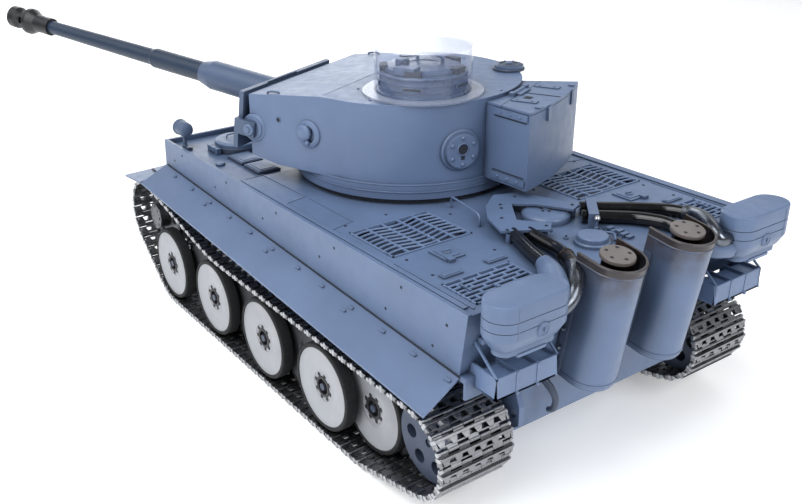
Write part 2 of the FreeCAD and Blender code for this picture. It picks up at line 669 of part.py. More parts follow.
def muffler_caps():
    """The drilled disc on each muffler, on a short neck."""
    neck = rod(6.5, muffler_point(0.9), muffler_point(0.98))
    disc = rod(8.0, muffler_point(0.98), muffler_point(1.0))
    cap = neck.fuse(disc).removeSplitter()
    centre = V(*muffler_point(0.9))
    axis = (V(*muffler_point(1.0)) - centre).normalize()
    across = axis.cross(Y_AXIS).normalize()
    hole_count = 5
    for k in range(hole_count):
        spoke = FreeCAD.Rotation(axis, 360.0 * k / hole_count).multVec(across) * 5.2
        start = V(*muffler_point(0.955)) + spoke
        end = V(*muffler_point(1.02)) + spoke
        cap = cap.cut(rod(0.7, tuple(start), tuple(end)))
    return both_sides([cap])


def muffler_brackets():
    """Flat lugs that hold each shield to the tail plate."""
    lugs = []
    for share in (0.2, 0.55):
        x, y, z = muffler_point(share)
        tail_x = (RIM_Z - z) * math.tan(TAIL_SLOPE)
        lugs.append(block(x + 10, tail_x, y + 6, y + 8, z - 2, z + 2).cut(
            rod(SHIELD_R, muffler_point(0.0), muffler_point(0.93))))
    return both_sides(lugs)


FILTER_X, FILTER_Y = -12.4, 78.0
FILTER_HALF = 12.0
FILTER_R = 9.2
FILTER_TOP = 124.5


def stadium(x, y, half, radius, z0, z1):
    """An upright solid with a slot-shaped plan, long side across the tank."""
    ends = [rod(radius, (x, y + s * half, z0), (x, y + s * half, z1)) for s in (-1, 1)]
    return ends[0].fuse(ends[1]).fuse(block(x - radius, x + radius, y - half, y + half, z0, z1))


def air_filters():
    """The pre-cleaner canister on each corner of the tail: a wide body over a narrower foot."""
    body = stadium(FILTER_X, FILTER_Y, FILTER_HALF, FILTER_R, 107.5, FILTER_TOP)
    middle = stadium(FILTER_X, FILTER_Y, FILTER_HALF, FILTER_R - 0.8, 103.5, 107.5)
    foot = stadium(FILTER_X, FILTER_Y, FILTER_HALF - 3, FILTER_R - 2.8, 98.0, 103.5)
    cap_y = FILTER_Y - 1.0
    cap = rod(3.4, (FILTER_X - FILTER_R - 0.9, cap_y, 108.5), (FILTER_X - FILTER_R + 4, cap_y, 108.5))
    return both_sides([body.fuse(middle).fuse(foot).fuse(cap).removeSplitter()])


def filter_brackets():
    """The bent strap that carries each filter on the tail plate."""
    strap = block(-3.0, 4.0, FILTER_Y - 8, FILTER_Y + 8, 88.4, 90.4)
    shelf = block(FILTER_X - 6, 4.0, FILTER_Y - 8, FILTER_Y + 8, 96.0, 98.0)
    upright = block(1.6, 4.0, FILTER_Y - 8, FILTER_Y + 8, 88.4, 98.0)
    tail = profile_xz([(tail_plate_x(85), 85), (tail_plate_x(99), 99), (30, 99), (30, 85)],
                      FILTER_Y - 10, FILTER_Y + 10)
    return both_sides([strap.fuse(shelf).fuse(upright).cut(tail).removeSplitter()])


def tail_plate_x(z):
    """Where the sloped tail plate's outer face is at a height."""
    return (RIM_Z - z) * math.tan(TAIL_SLOPE)


def tail_boxes():
    """The stowage box on each side of the tail, open underneath the filter."""
    y0, y1 = 55.5, 92.0
    outline = [(tail_plate_x(87.8), 87.8), (-12.5, 86.4), (-12.5, 75.4), (tail_plate_x(77), 77)]
    box = profile_xz(outline, y0, y1)
    hollow = profile_xz([(tail_plate_x(87) - 1.5, 89), (-11.2, 89), (-11.2, 77), (tail_plate_x(79) - 1.5, 79)],
                        y0 + 1.3, y1 - 1.3)
    return both_sides([box.cut(hollow).removeSplitter()])


def filter_hoses():
    """Two hoses on each side, from the middle of the engine deck over the tail to the filter."""
    radius = 3.4
    z = DECK_Z + radius + 0.1
    end_x = FILTER_X
    runs = [
        [(43.5, 21, z), (31, 23, z), (20, 25, z + 0.3), (9, 30.5, z + 1.2), (-2, 38, z + 2),
         (-9.5, 45.5, z - 0.5), (-12.5, 52, z - 5), (end_x, 60, z - 8)],
        [(47.5, 28, z), (37, 32, z), (27, 36, z), (15.5, 40, z + 0.3), (4, 46.5, z + 1),
         (-5, 53, z + 0.5), (end_x, 62, z - 0.5)],
        [(43, -15.5, z), (35, -25, z), (25.5, -35, z), (15, -40.5, z + 0.2), (4, -43, z - 0.5),
         (-5, -45.5, z - 5), (-10, -50.5, z - 9), (end_x, -60, z - 10.5)],
        [(52, -23.5, z), (43, -34, z), (33, -46.5, z), (23, -56.5, z), (12.5, -60.5, z + 0.5),
         (2, -57.5, z + 2), (-7, -52.5, z + 1), (end_x, -50.5, z - 2.5), (end_x, -60, z - 4.5)],
    ]
    hoses = []
    for run in runs:
        side = 1 if run[0][1] > 0 else -1
        canister = stadium(FILTER_X, side * FILTER_Y, FILTER_HALF, FILTER_R, 90, FILTER_TOP)
        hoses.append(hose(run, radius).cut(canister))
    return hoses


# ---------------------------------------------------------------- inside

def gearbox():
    """A gearbox with its motor, driving one sprocket."""
    case = block(306, 336, 24, 45, 40, 70)
    bore = rod(3.0 + RUN_GAP, (SPROCKET_X, 40, SPROCKET_Z), (SPROCKET_X, 46, SPROCKET_Z))
    motor = rod(11.0, (266, 34.5, 55), (306, 34.5, 55))
    return [case.cut(bore), motor]


def control_board():
    """The receiver and drive board on four posts, with its larger components."""
    z = 46.0
    board = block(206, 256, -36, 36, z, z + 1.6)
    chips = [block(212 + 14 * k, 222 + 14 * k, -20 + 12 * k, -8 + 12 * k, z + 1.6, z + 5) for k in range(3)]
    posts = [rod(2.0, (x, y, BELLY_Z + WALL), (x, y, z)) for x in (210, 252) for y in (-32, 32)]
    return [board] + chips + posts


def battery():
    """The rechargeable battery over the belly door."""
    return block(BATTERY_X0 + 6, BATTERY_X1 - 6, -19, 19, BELLY_Z + WALL + 0.2, BELLY_Z + WALL + 22)


def speaker():
    """The sound unit's round speaker."""
    base = rod(20, (60, 26, BELLY_Z + WALL), (60, 26, BELLY_Z + WALL + 6))
    return base.fuse(cone(18, 9, (60, 26, BELLY_Z + WALL + 6), (60, 26, BELLY_Z + WALL + 16)))


def smoke_unit():
    """The smoke generator that feeds the mufflers."""
    return block(22, 50, -46, -14, BELLY_Z + WALL, BELLY_Z + WALL + 26)


def turret_motor():
    """The traverse motor under the roof, beside the turret ring."""
    return rod(9.0, (110, -74, 88), (110, -74, 108))


# ---------------------------------------------------------------- turret

def turret_outline(inset):
    """The horseshoe plan as a closed wire, moved inward by an inset, at height zero."""
    radius = TURRET_R - inset
    front_x = TURRET_FRONT_X - inset
    half = TURRET_FRONT_HALF - inset
    left, right = V(0, radius, 0), V(0, -radius, 0)
    edges = [Part.Arc(left, V(-radius, 0, 0), right).toShape(),
             Part.makeLine(right, V(front_x, -half, 0)),
             Part.makeLine(V(front_x, -half, 0), V(front_x, half, 0)),
             Part.makeLine(V(front_x, half, 0), left)]
    return Part.Wire(edges)


def turret_block(inset, z0, z1, drop):
    """The turret's plan as a solid, with its roof sloping down ahead of the break; drop lowers the roof."""
    solid = Part.Face(turret_outline(inset)).extrude(V(0, 0, z1 - z0))
    solid.translate(V(0, 0, z0))
    slope = (TURRET_ROOF_Z - TURRET_FRONT_ROOF_Z) / (TURRET_FRONT_X - TURRET_BREAK_X)
    far = TURRET_FRONT_X + 20
    above = [(TURRET_BREAK_X, TURRET_ROOF_Z - drop), (far, TURRET_ROOF_Z - drop - slope * (far - TURRET_BREAK_X)),
             (far, TURRET_ROOF_Z + 20), (TURRET_BREAK_X, TURRET_ROOF_Z + 20)]
    return solid.cut(profile_xz(above, -TURRET_R - 10, TURRET_R + 10))


def turret_body():
    """Walls and roof in one shell, open below, with openings for the gun, hatches and cupola."""
    wall = 2.6
    shell = turret_block(0, TURRET_WALL_Z, TURRET_ROOF_Z, 0)
    shell = shell.cut(turret_block(wall, TURRET_WALL_Z - 1, TURRET_ROOF_Z - wall, wall))
    chamfer = [(46, TURRET_WALL_Z - 1), (80, TURRET_WALL_Z - 1), (80, TURRET_WALL_Z + 4)]
    shell = shell.cut(profile_xz(chamfer, -TURRET_R - 5, TURRET_R + 5))
    gun_window = block(TURRET_FRONT_X - 8, TURRET_FRONT_X + 5, -22, 22, TRUNNION_Z - 15, TRUNNION_Z + 13)
    shell = shell.cut(gun_window)
    for side in (-1, 1):
        boss = rod(5.4, (TRUNNION_X - 0.6, side * 52, TRUNNION_Z), (TRUNNION_X - 0.6, side * 61.2, TRUNNION_Z))
        bore = rod(TRUNNION_R + RUN_GAP, (TRUNNION_X, side * 48, TRUNNION_Z), (TRUNNION_X, side * 62, TRUNNION_Z))
        shell = shell.fuse(boss).cut(bore)
    shell = shell.cut(rod(22.0, (CUPOLA_X, CUPOLA_Y, TURRET_ROOF_Z - 6), (CUPOLA_X, CUPOLA_Y, TURRET_ROOF_Z + 1)))
    hx0, hx1, hy0, hy1 = LOADER_HATCH
    shell = shell.cut(block(hx0 + 2, hx1 - 2, hy0 + 2, hy1 - 2, TURRET_ROOF_Z - 6, TURRET_ROOF_Z + 1))
    return shell.removeSplitter()


LOADER_HATCH = (-6.0, 18.0, -48.0, -17.0)   # x0, x1, y0, y1 in the turret's frame


def turret_base():
    """The round skirt under the walls and the spigot that turns in the hull roof."""
    skirt = tube(TURRET_R + 0.8, SPIGOT_R - 3, (0, 0, TURRET_BASE_Z), (0, 0, TURRET_WALL_Z))
    spigot = tube(SPIGOT_R, SPIGOT_R - 3, (0, 0, 106.0), (0, 0, TURRET_BASE_Z))
    lip = tube(SPIGOT_R + 4, SPIGOT_R - 3, (0, 0, 104.4), (0, 0, 106.0))
    ring = skirt.fuse(spigot).fuse(lip)
    return ring.removeSplitter()


def cupola():
    """The drum cupola with its vision slits and base flange."""
    z0 = TURRET_ROOF_Z
    drum = tube(CUPOLA_R, 20.0, (CUPOLA_X, CUPOLA_Y, z0), (CUPOLA_X, CUPOLA_Y, CUPOLA_TOP - 3))
    slit_count = 5
    for k in range(slit_count):
        angle = 2 * math.pi * k / slit_count + 0.6
        slit = block(CUPOLA_R - 7, CUPOLA_R + 2, -6, 6, z0 + 4.5, z0 + 6.5)
        slit.rotate(ORIGIN, Z_AXIS, math.degrees(angle))
        slit.translate(V(CUPOLA_X, CUPOLA_Y, 0))
        drum = drum.cut(slit)
    return drum


def commander_hatch():
    """The round lid on the cupola, with its handle and hinge block."""
    z0 = CUPOLA_TOP - 3
    lid = rod(21.5, (CUPOLA_X, CUPOLA_Y, z0), (CUPOLA_X, CUPOLA_Y, z0 + 2.2))
    knob = rod(4.0, (CUPOLA_X, CUPOLA_Y, z0 + 2.2), (CUPOLA_X, CUPOLA_Y, z0 + 5.0))
    arm = block(CUPOLA_X - 1.5, CUPOLA_X + 1.5, CUPOLA_Y, CUPOLA_Y + 18, z0 + 2.2, z0 + 4.2)
    hinge = block(CUPOLA_X - 5, CUPOLA_X + 5, CUPOLA_Y + 17, CUPOLA_Y + 22, z0, z0 + 4.8)
    return lid.fuse(knob).fuse(arm).fuse(hinge).removeSplitter()


def clear_cover():
    """The clear round cap over the cupola, with a flat flange on the roof."""
    wall = 0.9
    z0 = TURRET_ROOF_Z + 0.2
    centre = (CUPOLA_X, CUPOLA_Y)
    can = rod(COVER_R, (*centre, z0), (*centre, COVER_TOP))
    can = can.cut(rod(COVER_R - wall, (*centre, z0 - 1), (*centre, COVER_TOP - wall)))
    flange = tube(COVER_FLANGE_R, COVER_R - wall, (*centre, z0), (*centre, z0 + 1.0))
    return can.fuse(flange).removeSplitter()


def loader_hatch():
    """The rectangular roof lid, hinged at its front edge."""
    x0, x1, y0, y1 = LOADER_HATCH
    z = TURRET_ROOF_Z
    lid = block(x0, x1 - 1.2, y0, y1, z + 0.3, z + 2.3)
    plug = block(x0 + 2.4, x1 - 2.4, y0 + 2.4, y1 - 2.4, z - 1.4, z + 0.3)
    middle = (y0 + y1) / 2
    knuckle = rod(1.5, (x1 + 1.6, middle - 4, z + 1.8), (x1 + 1.6, middle + 4, z + 1.8))
    arm = block(x1 - 3, x1 + 1.6, middle - 4, middle + 4, z + 0.9, z + 2.3)
    pin_hole = rod(HINGE_PIN_R + RUN_GAP, (x1 + 1.6, y0, z + 1.8), (x1 + 1.6, y1, z + 1.8))
    return lid.fuse(plug).fuse(knuckle).fuse(arm).cut(pin_hole).removeSplitter()


def turret_hinges():
    """Fixed hinge ears and pins of the loader's hatch and the bin lid."""
    x0, x1, y0, y1 = LOADER_HATCH
    middle = (y0 + y1) / 2
    pin_x, pin_z = x1 + 1.6, TURRET_ROOF_Z + 1.8
    pieces = []
    for y in (middle - 6.2, middle + 6.2):
        ear = block(pin_x - 1.5, pin_x + 1.5, y - 1.6, y + 1.6, TURRET_ROOF_Z, pin_z + 1.5)
        pieces.append(ear)
    pin = rod(HINGE_PIN_R, (pin_x, middle - 7.8, pin_z), (pin_x, middle + 7.8, pin_z))
    cut_roof = turret_block(0, TURRET_WALL_Z, TURRET_ROOF_Z, 0)
    pieces = [ear.cut(pin).cut(cut_roof) for ear in pieces] + [pin]
    return pieces


def pistol_ports():
    """The bolted round pistol-port plugs on the rear walls."""
    ports = []
    angle = 143.4
    for side in (-1, 1):
        plug = rod(9.6, (TURRET_R, 0, 141.6), (TURRET_R + 2.6, 0, 141.6))
        plug = plug.cut(rod(2.0, (TURRET_R + 1.0, 0, 141.6), (TURRET_R + 4, 0, 141.6)))
        plug.rotate(ORIGIN, Z_AXIS, side * angle)
        ports.append(plug)
    return ports


def turret_fittings():
    """Fixed small pieces: vent dome and side vision domes."""
    vent = rod(8.6, (-46.5, -40.0, TURRET_ROOF_Z), (-46.5, -40.0, TURRET_ROOF_Z + 3.0))
    slope = math.atan2(TURRET_R - TURRET_FRONT_HALF, TURRET_FRONT_X)
    x = 32.0
    y = TURRET_R - x * math.tan(slope)
    pieces = [vent]
    for side in (-1, 1):
        out = V(math.sin(slope), side * math.cos(slope), 0)
        start = V(x, side * y, 146.0)
        end = start + out * 2.2
        pieces.append(cone(4.6, 3.4, tuple(start), tuple(end)))
    return pieces


def bin_outline(inset):
    """The stowage bin's plan: a trapezoid behind the turret's round back."""
    front, back = BIN_HALF_FRONT - inset, BIN_HALF_BACK - inset
    bulge = BIN_BACK_X - 3.6 + inset
    x_back = BIN_BACK_X + inset
    edges = [Part.makeLine(V(-58, front, 0), V(x_back, back, 0)),
             Part.Arc(V(x_back, back, 0), V(bulge, 0, 0), V(x_back, -back, 0)).toShape(),
             Part.makeLine(V(x_back, -back, 0), V(-58, -front, 0)),
             Part.makeLine(V(-58, -front, 0), V(-58, front, 0))]
    return Part.Face(Part.Wire(edges))


def bin_solid(inset, z0, z1):
    """The bin's plan between two heights."""
    solid = bin_outline(inset).extrude(V(0, 0, z1 - z0))
    solid.translate(V(0, 0, z0))
    return solid


def stowage_bin():
    """The open box hung on the back of the turret."""
    against = rod(TURRET_R, (0, 0, 100), (0, 0, 200))
    box = bin_solid(0, BIN_BOTTOM_Z, BIN_TOP_Z - 1.6).cut(against)
    inside_wall = rod(TURRET_R + 1.4, (0, 0, 100), (0, 0, 200))
    hollow = bin_solid(1.4, BIN_BOTTOM_Z + 1.4, BIN_TOP_Z).cut(inside_wall)
    return box.cut(hollow).removeSplitter()


BIN_HINGE_X = -69.0
BIN_HINGE_Z = BIN_TOP_Z + 0.7


def bin_lid():
    """The bin's flat lid with a hinge knuckle near the turret."""
    lid = bin_solid(0, BIN_TOP_Z - 1.3, BIN_TOP_Z)
    lid = lid.cut(block(BIN_HINGE_X - 2.2, 0, -50, 50, BIN_TOP_Z - 5, BIN_TOP_Z + 5))
    arm = block(BIN_HINGE_X - 4, BIN_HINGE_X, -7, 7, BIN_TOP_Z - 0.6, BIN_TOP_Z + 0.9)
    knuckle = rod(1.3, (BIN_HINGE_X, -7, BIN_HINGE_Z), (BIN_HINGE_X, 7, BIN_HINGE_Z))
    hole = rod(HINGE_PIN_R + RUN_GAP, (BIN_HINGE_X, -9, BIN_HINGE_Z), (BIN_HINGE_X, 9, BIN_HINGE_Z))
    return lid.fuse(arm).fuse(knuckle).cut(hole).removeSplitter()


def bin_hinge():
    """The fixed strip between turret and lid, with the hinge ears and pin."""
    strip = bin_solid(0, BIN_TOP_Z - 1.3, BIN_TOP_Z).cut(rod(TURRET_R, (0, 0, 100), (0, 0, 200)))
    strip = strip.cut(block(-120, BIN_HINGE_X - 1.8, -50, 50, BIN_TOP_Z - 5, BIN_TOP_Z + 5))
    notch = block(BIN_HINGE_X - 3, BIN_HINGE_X + 2.0, -7.4, 7.4, BIN_TOP_Z - 5, BIN_TOP_Z + 5)
    strip = strip.cut(notch)
    pin = rod(HINGE_PIN_R, (BIN_HINGE_X, -11, BIN_HINGE_Z), (BIN_HINGE_X, 11, BIN_HINGE_Z))
    ears = []
    for y0, y1 in ((-11, -7.4), (7.4, 11)):
        ears.append(block(BIN_HINGE_X - 1.4, BIN_HINGE_X + 1.4, y0, y1, BIN_TOP_Z, BIN_HINGE_Z + 1.4).cut(pin))
    return [strip.cut(pin)] + ears + [pin]


# ---------------------------------------------------------------- gun, level in the turret's frame

MUZZLE = 271.7        # front face's distance ahead of the trunnions
COLLAR_END = 86.0
BARREL_SLEEVE_END = 131.7
SLEEVE_R = 6.7
BARREL_R_REAR, BARREL_R_FRONT = 5.6, 4.7


def gun_point(distance):
    """A point on the level gun's centre line, measured forward from the trunnions."""
    return (TRUNNION_X + distance, 0, TRUNNION_Z)


def mantlet():
    """The wide mantlet plate with its collar, side arms and trunnion pins."""
    back, front = TRUNNION_X + 7.6, TRUNNION_X + 10.6
    low, high = TRUNNION_Z - 13.6, TRUNNION_Z + 20.0
    half = 60.5
    plate = block(back, front, -half, half, low, high)
    plate = plate.cut(block(back - 1, front + 1, -half - 1, -32, high - 5, high + 1))
    plate = plate.cut(block(back - 1, back + 1.4, 5, 36, high - 2.6, high + 1))
    centre = block(TRUNNION_X + 3.0, TRUNNION_X + 15.0, -18, 18, TRUNNION_Z - 11.0, TRUNNION_Z + 11.5)
    collar = rod(9.7, gun_point(10), gun_point(COLLAR_END - 9))
    taper = cone(9.7, SLEEVE_R + 0.6, gun_point(COLLAR_END - 9), gun_point(COLLAR_END))
    body = plate.fuse(centre).fuse(collar).fuse(taper)
    bore = rod(SLEEVE_R + RUN_GAP, gun_point(-20), gun_point(COLLAR_END + 1))
    body = body.cut(bore)
    for side in (-1, 1):
        y0, y1 = sorted((side * 62.2, side * 64.4))
        arm = block(TRUNNION_X - 3.4, front, y0, y1, TRUNNION_Z - 4.5, TRUNNION_Z + 4.5)
        y2, y3 = sorted((side * 59.5, side * 64.4))
        bridge = block(back, front, y2, y3, low, TRUNNION_Z + 4.5)
        pin = rod(TRUNNION_R, (TRUNNION_X, side * 50, TRUNNION_Z), (TRUNNION_X, side * 63, TRUNNION_Z))
        body = body.fuse(arm).fuse(bridge).fuse(pin)
    return body.removeSplitter()


def gun_barrel():
    """The stepped barrel, which slides back in the collar when it recoils."""
    tail = 8.0
    bore_r = 2.75
    sleeve = rod(SLEEVE_R, gun_point(tail), gun_point(BARREL_SLEEVE_END - 3))
    step = cone(SLEEVE_R, BARREL_R_REAR, gun_point(BARREL_SLEEVE_END - 3), gun_point(BARREL_SLEEVE_END))
    front = cone(BARREL_R_REAR, BARREL_R_FRONT, gun_point(BARREL_SLEEVE_END), gun_point(MUZZLE - 40))
    barrel = sleeve.fuse(step).fuse(front)
    return barrel.cut(rod(bore_r, gun_point(tail + 40), gun_point(MUZZLE))).removeSplitter()


def muzzle_brake():
    """The two-baffle muzzle brake screwed on the barrel's end."""
    root = MUZZLE - 40.0
    collar = rod(6.4, gun_point(root), gun_point(root + 5))
    neck = cone(6.0, 6.6, gun_point(root + 5), gun_point(root + 14))
    rear = cone(6.6, 9.4, gun_point(root + 14), gun_point(root + 20))
    rear_disc = rod(9.4, gun_point(root + 20), gun_point(root + 23))
    middle = rod(5.6, gun_point(root + 23), gun_point(root + 31))
    front = cone(5.6, 7.9, gun_point(root + 31), gun_point(root + 34))
    front_disc = rod(7.9, gun_point(root + 34), gun_point(MUZZLE))
    brake = collar
    for piece in (neck, rear, rear_disc, middle, front, front_disc):
        brake = brake.fuse(piece)
    brake = brake.cut(rod(2.75, gun_point(root - 1), gun_point(MUZZLE + 1)))
    port = block(TRUNNION_X + root + 24.5, TRUNNION_X + root + 30, -8, 8, TRUNNION_Z - 2.4, TRUNNION_Z + 2.4)
    return brake.cut(port).removeSplitter()


# ---------------------------------------------------------------- assembly

def trimmed(shapes, others):
    """The shapes with the others cut out of them, each kept as its largest solid."""
    kept = []
    for shape in shapes:
        for other in others:
            if shape.BoundBox.intersect(other.BoundBox):
                shape = shape.cut(other)
        kept.append(max(shape.Solids, key=lambda solid: solid.Volume))
    return kept


def build():
    """Every node's list of solids, in the working frame."""
    nodes = {}
    shoes, pins = track()
    for side in ("left", "right"):
        for number in range(1, AXLE_COUNT + 1):
            nodes["road_wheel_%s_%d" % (side, number)] = sided(side, road_wheel(number))
        nodes["drive_sprocket_" + side] = sided(side, drive_sprocket())
        nodes["idler_wheel_" + side] = sided(side, idler_wheel())
        nodes["track_" + side] = sided(side, shoes)
    nodes["track_pins"] = both_sides(pins)
    nodes["mudguards"] = both_sides(mudguard())
    nodes["swing_arms"] = both_sides(swing_arms())
    nodes["final_drives"] = both_sides([final_drive()])
    nodes["lower_hull"] = [lower_hull()]
    nodes["upper_hull"] = [upper_hull()]
    shell = nodes["lower_hull"] + nodes["upper_hull"]
    nodes["gearboxes"] = trimmed(both_sides(gearbox()), shell)
    nodes["deck_grilles"] = deck_grilles()
    nodes["engine_deck_fittings"] = engine_fittings() + [handle()]
    nodes["headlights"] = both_sides(headlight())
    nodes["driver_hatch"] = [hull_hatch(1)]
    nodes["radio_hatch"] = [hull_hatch(-1)]
    nodes["hull_gun"] = [hull_gun()]
    nodes["front_fittings"] = [hull_gun_mount(), driver_visor()] + hatch_hinges() + roof_fittings()
    nodes["muffler_shields"] = trimmed(muffler_shields() + muffler_brackets(), shell)
    nodes["mufflers"] = mufflers()
    nodes["muffler_caps"] = muffler_caps()
    nodes["air_filters"] = air_filters()
    under_hoses = nodes["engine_deck_fittings"] + nodes["deck_grilles"] + nodes["upper_hull"]
    nodes["filter_hoses"] = trimmed(filter_hoses(), under_hoses)
    nodes["tail_boxes"] = tail_boxes() + filter_brackets()
    nodes["battery_door"] = [battery_door()]
    nodes["door_rails"] = door_rails()
    nodes["power_switch"] = [power_switch()]
    nodes["electronics"] = control_board() + [speaker(), smoke_unit(), turret_motor()]
    nodes["battery"] = [battery()]
    turret_nodes = {
        "turret_body": [turret_body()],
        "turret_base": [turret_base()],
        "cupola": [cupola(), commander_hatch()],
        "clear_cover": [clear_cover()],
        "loader_hatch": [loader_hatch()],
        "turret_hinges": turret_hinges() + bin_hinge(),
        "turret_fittings": turret_fittings() + pistol_ports(),
        "stowage_bin": [stowage_bin()],
        "bin_lid": [bin_lid()],
    }
    for name, shapes in turret_nodes.items():
        nodes[name] = [on_turret(s) for s in shapes]
    for name, shape in (("mantlet", mantlet()), ("gun_barrel", gun_barrel()), ("muzzle_brake", muzzle_brake())):
        nodes[name] = [on_gun(shape)]
    return nodes


def main():
    nodes = build()
    whole = Part.makeCompound([s for shapes in nodes.values() for s in shapes])
    box = whole.optimalBoundingBox(False, False)
    shift = V(-box.Center.x, -box.Center.y, -box.ZMin)
    print("shift %.5f %.5f %.5f" % tuple(shift))
    print("size %.2f %.2f %.2f" % (box.XLength, box.YLength, box.ZLength))
    os.makedirs("parts", exist_ok=True)
    for name, shapes in nodes.items():
        group = Part.makeCompound(shapes) if len(shapes) > 1 else shapes[0]
        group.translate(shift)
        bad = [k for k, s in enumerate(shapes) if not s.isValid() or s.Volume <= 0 or len(s.Solids) != 1]
        if bad:
            print("check", name, bad)
        group.exportStep("parts/%s.step" % name)
    print("nodes", len(nodes))


main()
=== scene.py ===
"""The looks of a radio-controlled tank: detailed running gear, engine deck, turret fittings and materials.

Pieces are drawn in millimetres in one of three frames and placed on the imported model:
HULL (X = 0 at the superstructure's rear edge, Y = 0 on its centre line, Z = 0 on the ground),
TURRET (X along the level gun, origin on the turret ring's axis) and GUN (the same, raised as the gun rests).
"""

import json
import math

import bmesh
import bpy
from mathutils import Matrix, Vector


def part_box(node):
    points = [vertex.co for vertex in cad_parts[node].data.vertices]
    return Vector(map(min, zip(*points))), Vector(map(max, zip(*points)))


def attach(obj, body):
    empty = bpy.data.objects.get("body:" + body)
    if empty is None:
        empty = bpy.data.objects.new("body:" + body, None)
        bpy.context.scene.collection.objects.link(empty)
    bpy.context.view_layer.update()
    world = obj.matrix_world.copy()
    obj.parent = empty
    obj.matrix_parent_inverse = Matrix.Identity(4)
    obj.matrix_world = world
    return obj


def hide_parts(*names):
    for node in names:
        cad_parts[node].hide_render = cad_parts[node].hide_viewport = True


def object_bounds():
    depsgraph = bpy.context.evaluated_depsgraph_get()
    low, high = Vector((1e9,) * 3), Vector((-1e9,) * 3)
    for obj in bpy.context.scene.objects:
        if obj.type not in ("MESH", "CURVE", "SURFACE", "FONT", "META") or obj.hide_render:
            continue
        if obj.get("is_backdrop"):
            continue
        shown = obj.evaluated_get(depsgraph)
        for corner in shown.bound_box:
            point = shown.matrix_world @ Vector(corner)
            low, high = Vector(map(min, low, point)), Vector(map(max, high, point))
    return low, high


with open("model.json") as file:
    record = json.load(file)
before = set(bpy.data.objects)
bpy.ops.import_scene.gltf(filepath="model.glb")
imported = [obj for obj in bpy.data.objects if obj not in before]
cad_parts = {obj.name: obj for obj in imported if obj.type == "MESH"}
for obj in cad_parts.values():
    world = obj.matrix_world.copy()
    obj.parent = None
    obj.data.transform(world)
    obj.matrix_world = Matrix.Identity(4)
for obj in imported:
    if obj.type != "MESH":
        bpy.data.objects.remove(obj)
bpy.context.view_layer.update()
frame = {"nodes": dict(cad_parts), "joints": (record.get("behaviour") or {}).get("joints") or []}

# ---------------------------------------------------------------- frames

MM = 0.001
TRAVERSE = math.radians(24.5)
ELEVATION = math.radians(7.5)
joints = {joint["name"]: joint for joint in frame["joints"]}
hull_low, hull_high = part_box("upper_hull")
hull_origin = Vector((hull_low.x, (hull_low.y + hull_high.y) / 2, 0))
ring = Vector(joints["turret_traverse"]["pos_m"])
trunnion = Vector((70.0, 0.0, 142.8))

HULL = Matrix.Translation(hull_origin) @ Matrix.Scale(MM, 4)
TURRET = (Matrix.Translation((ring.x, ring.y, 0)) @ Matrix.Rotation(TRAVERSE, 4, "Z")
          @ Matrix.Scale(MM, 4))
GUN = (TURRET @ Matrix.Translation(trunnion) @ Matrix.Rotation(-ELEVATION, 4, "Y")
       @ Matrix.Translation(-trunnion))
MIRROR = Matrix.Scale(-1, 4, (0, 1, 0))


def hull_mm(point):
    """A record position, in metres, as hull millimetres."""
    return (Vector(point) - hull_origin) / MM


# ---------------------------------------------------------------- materials

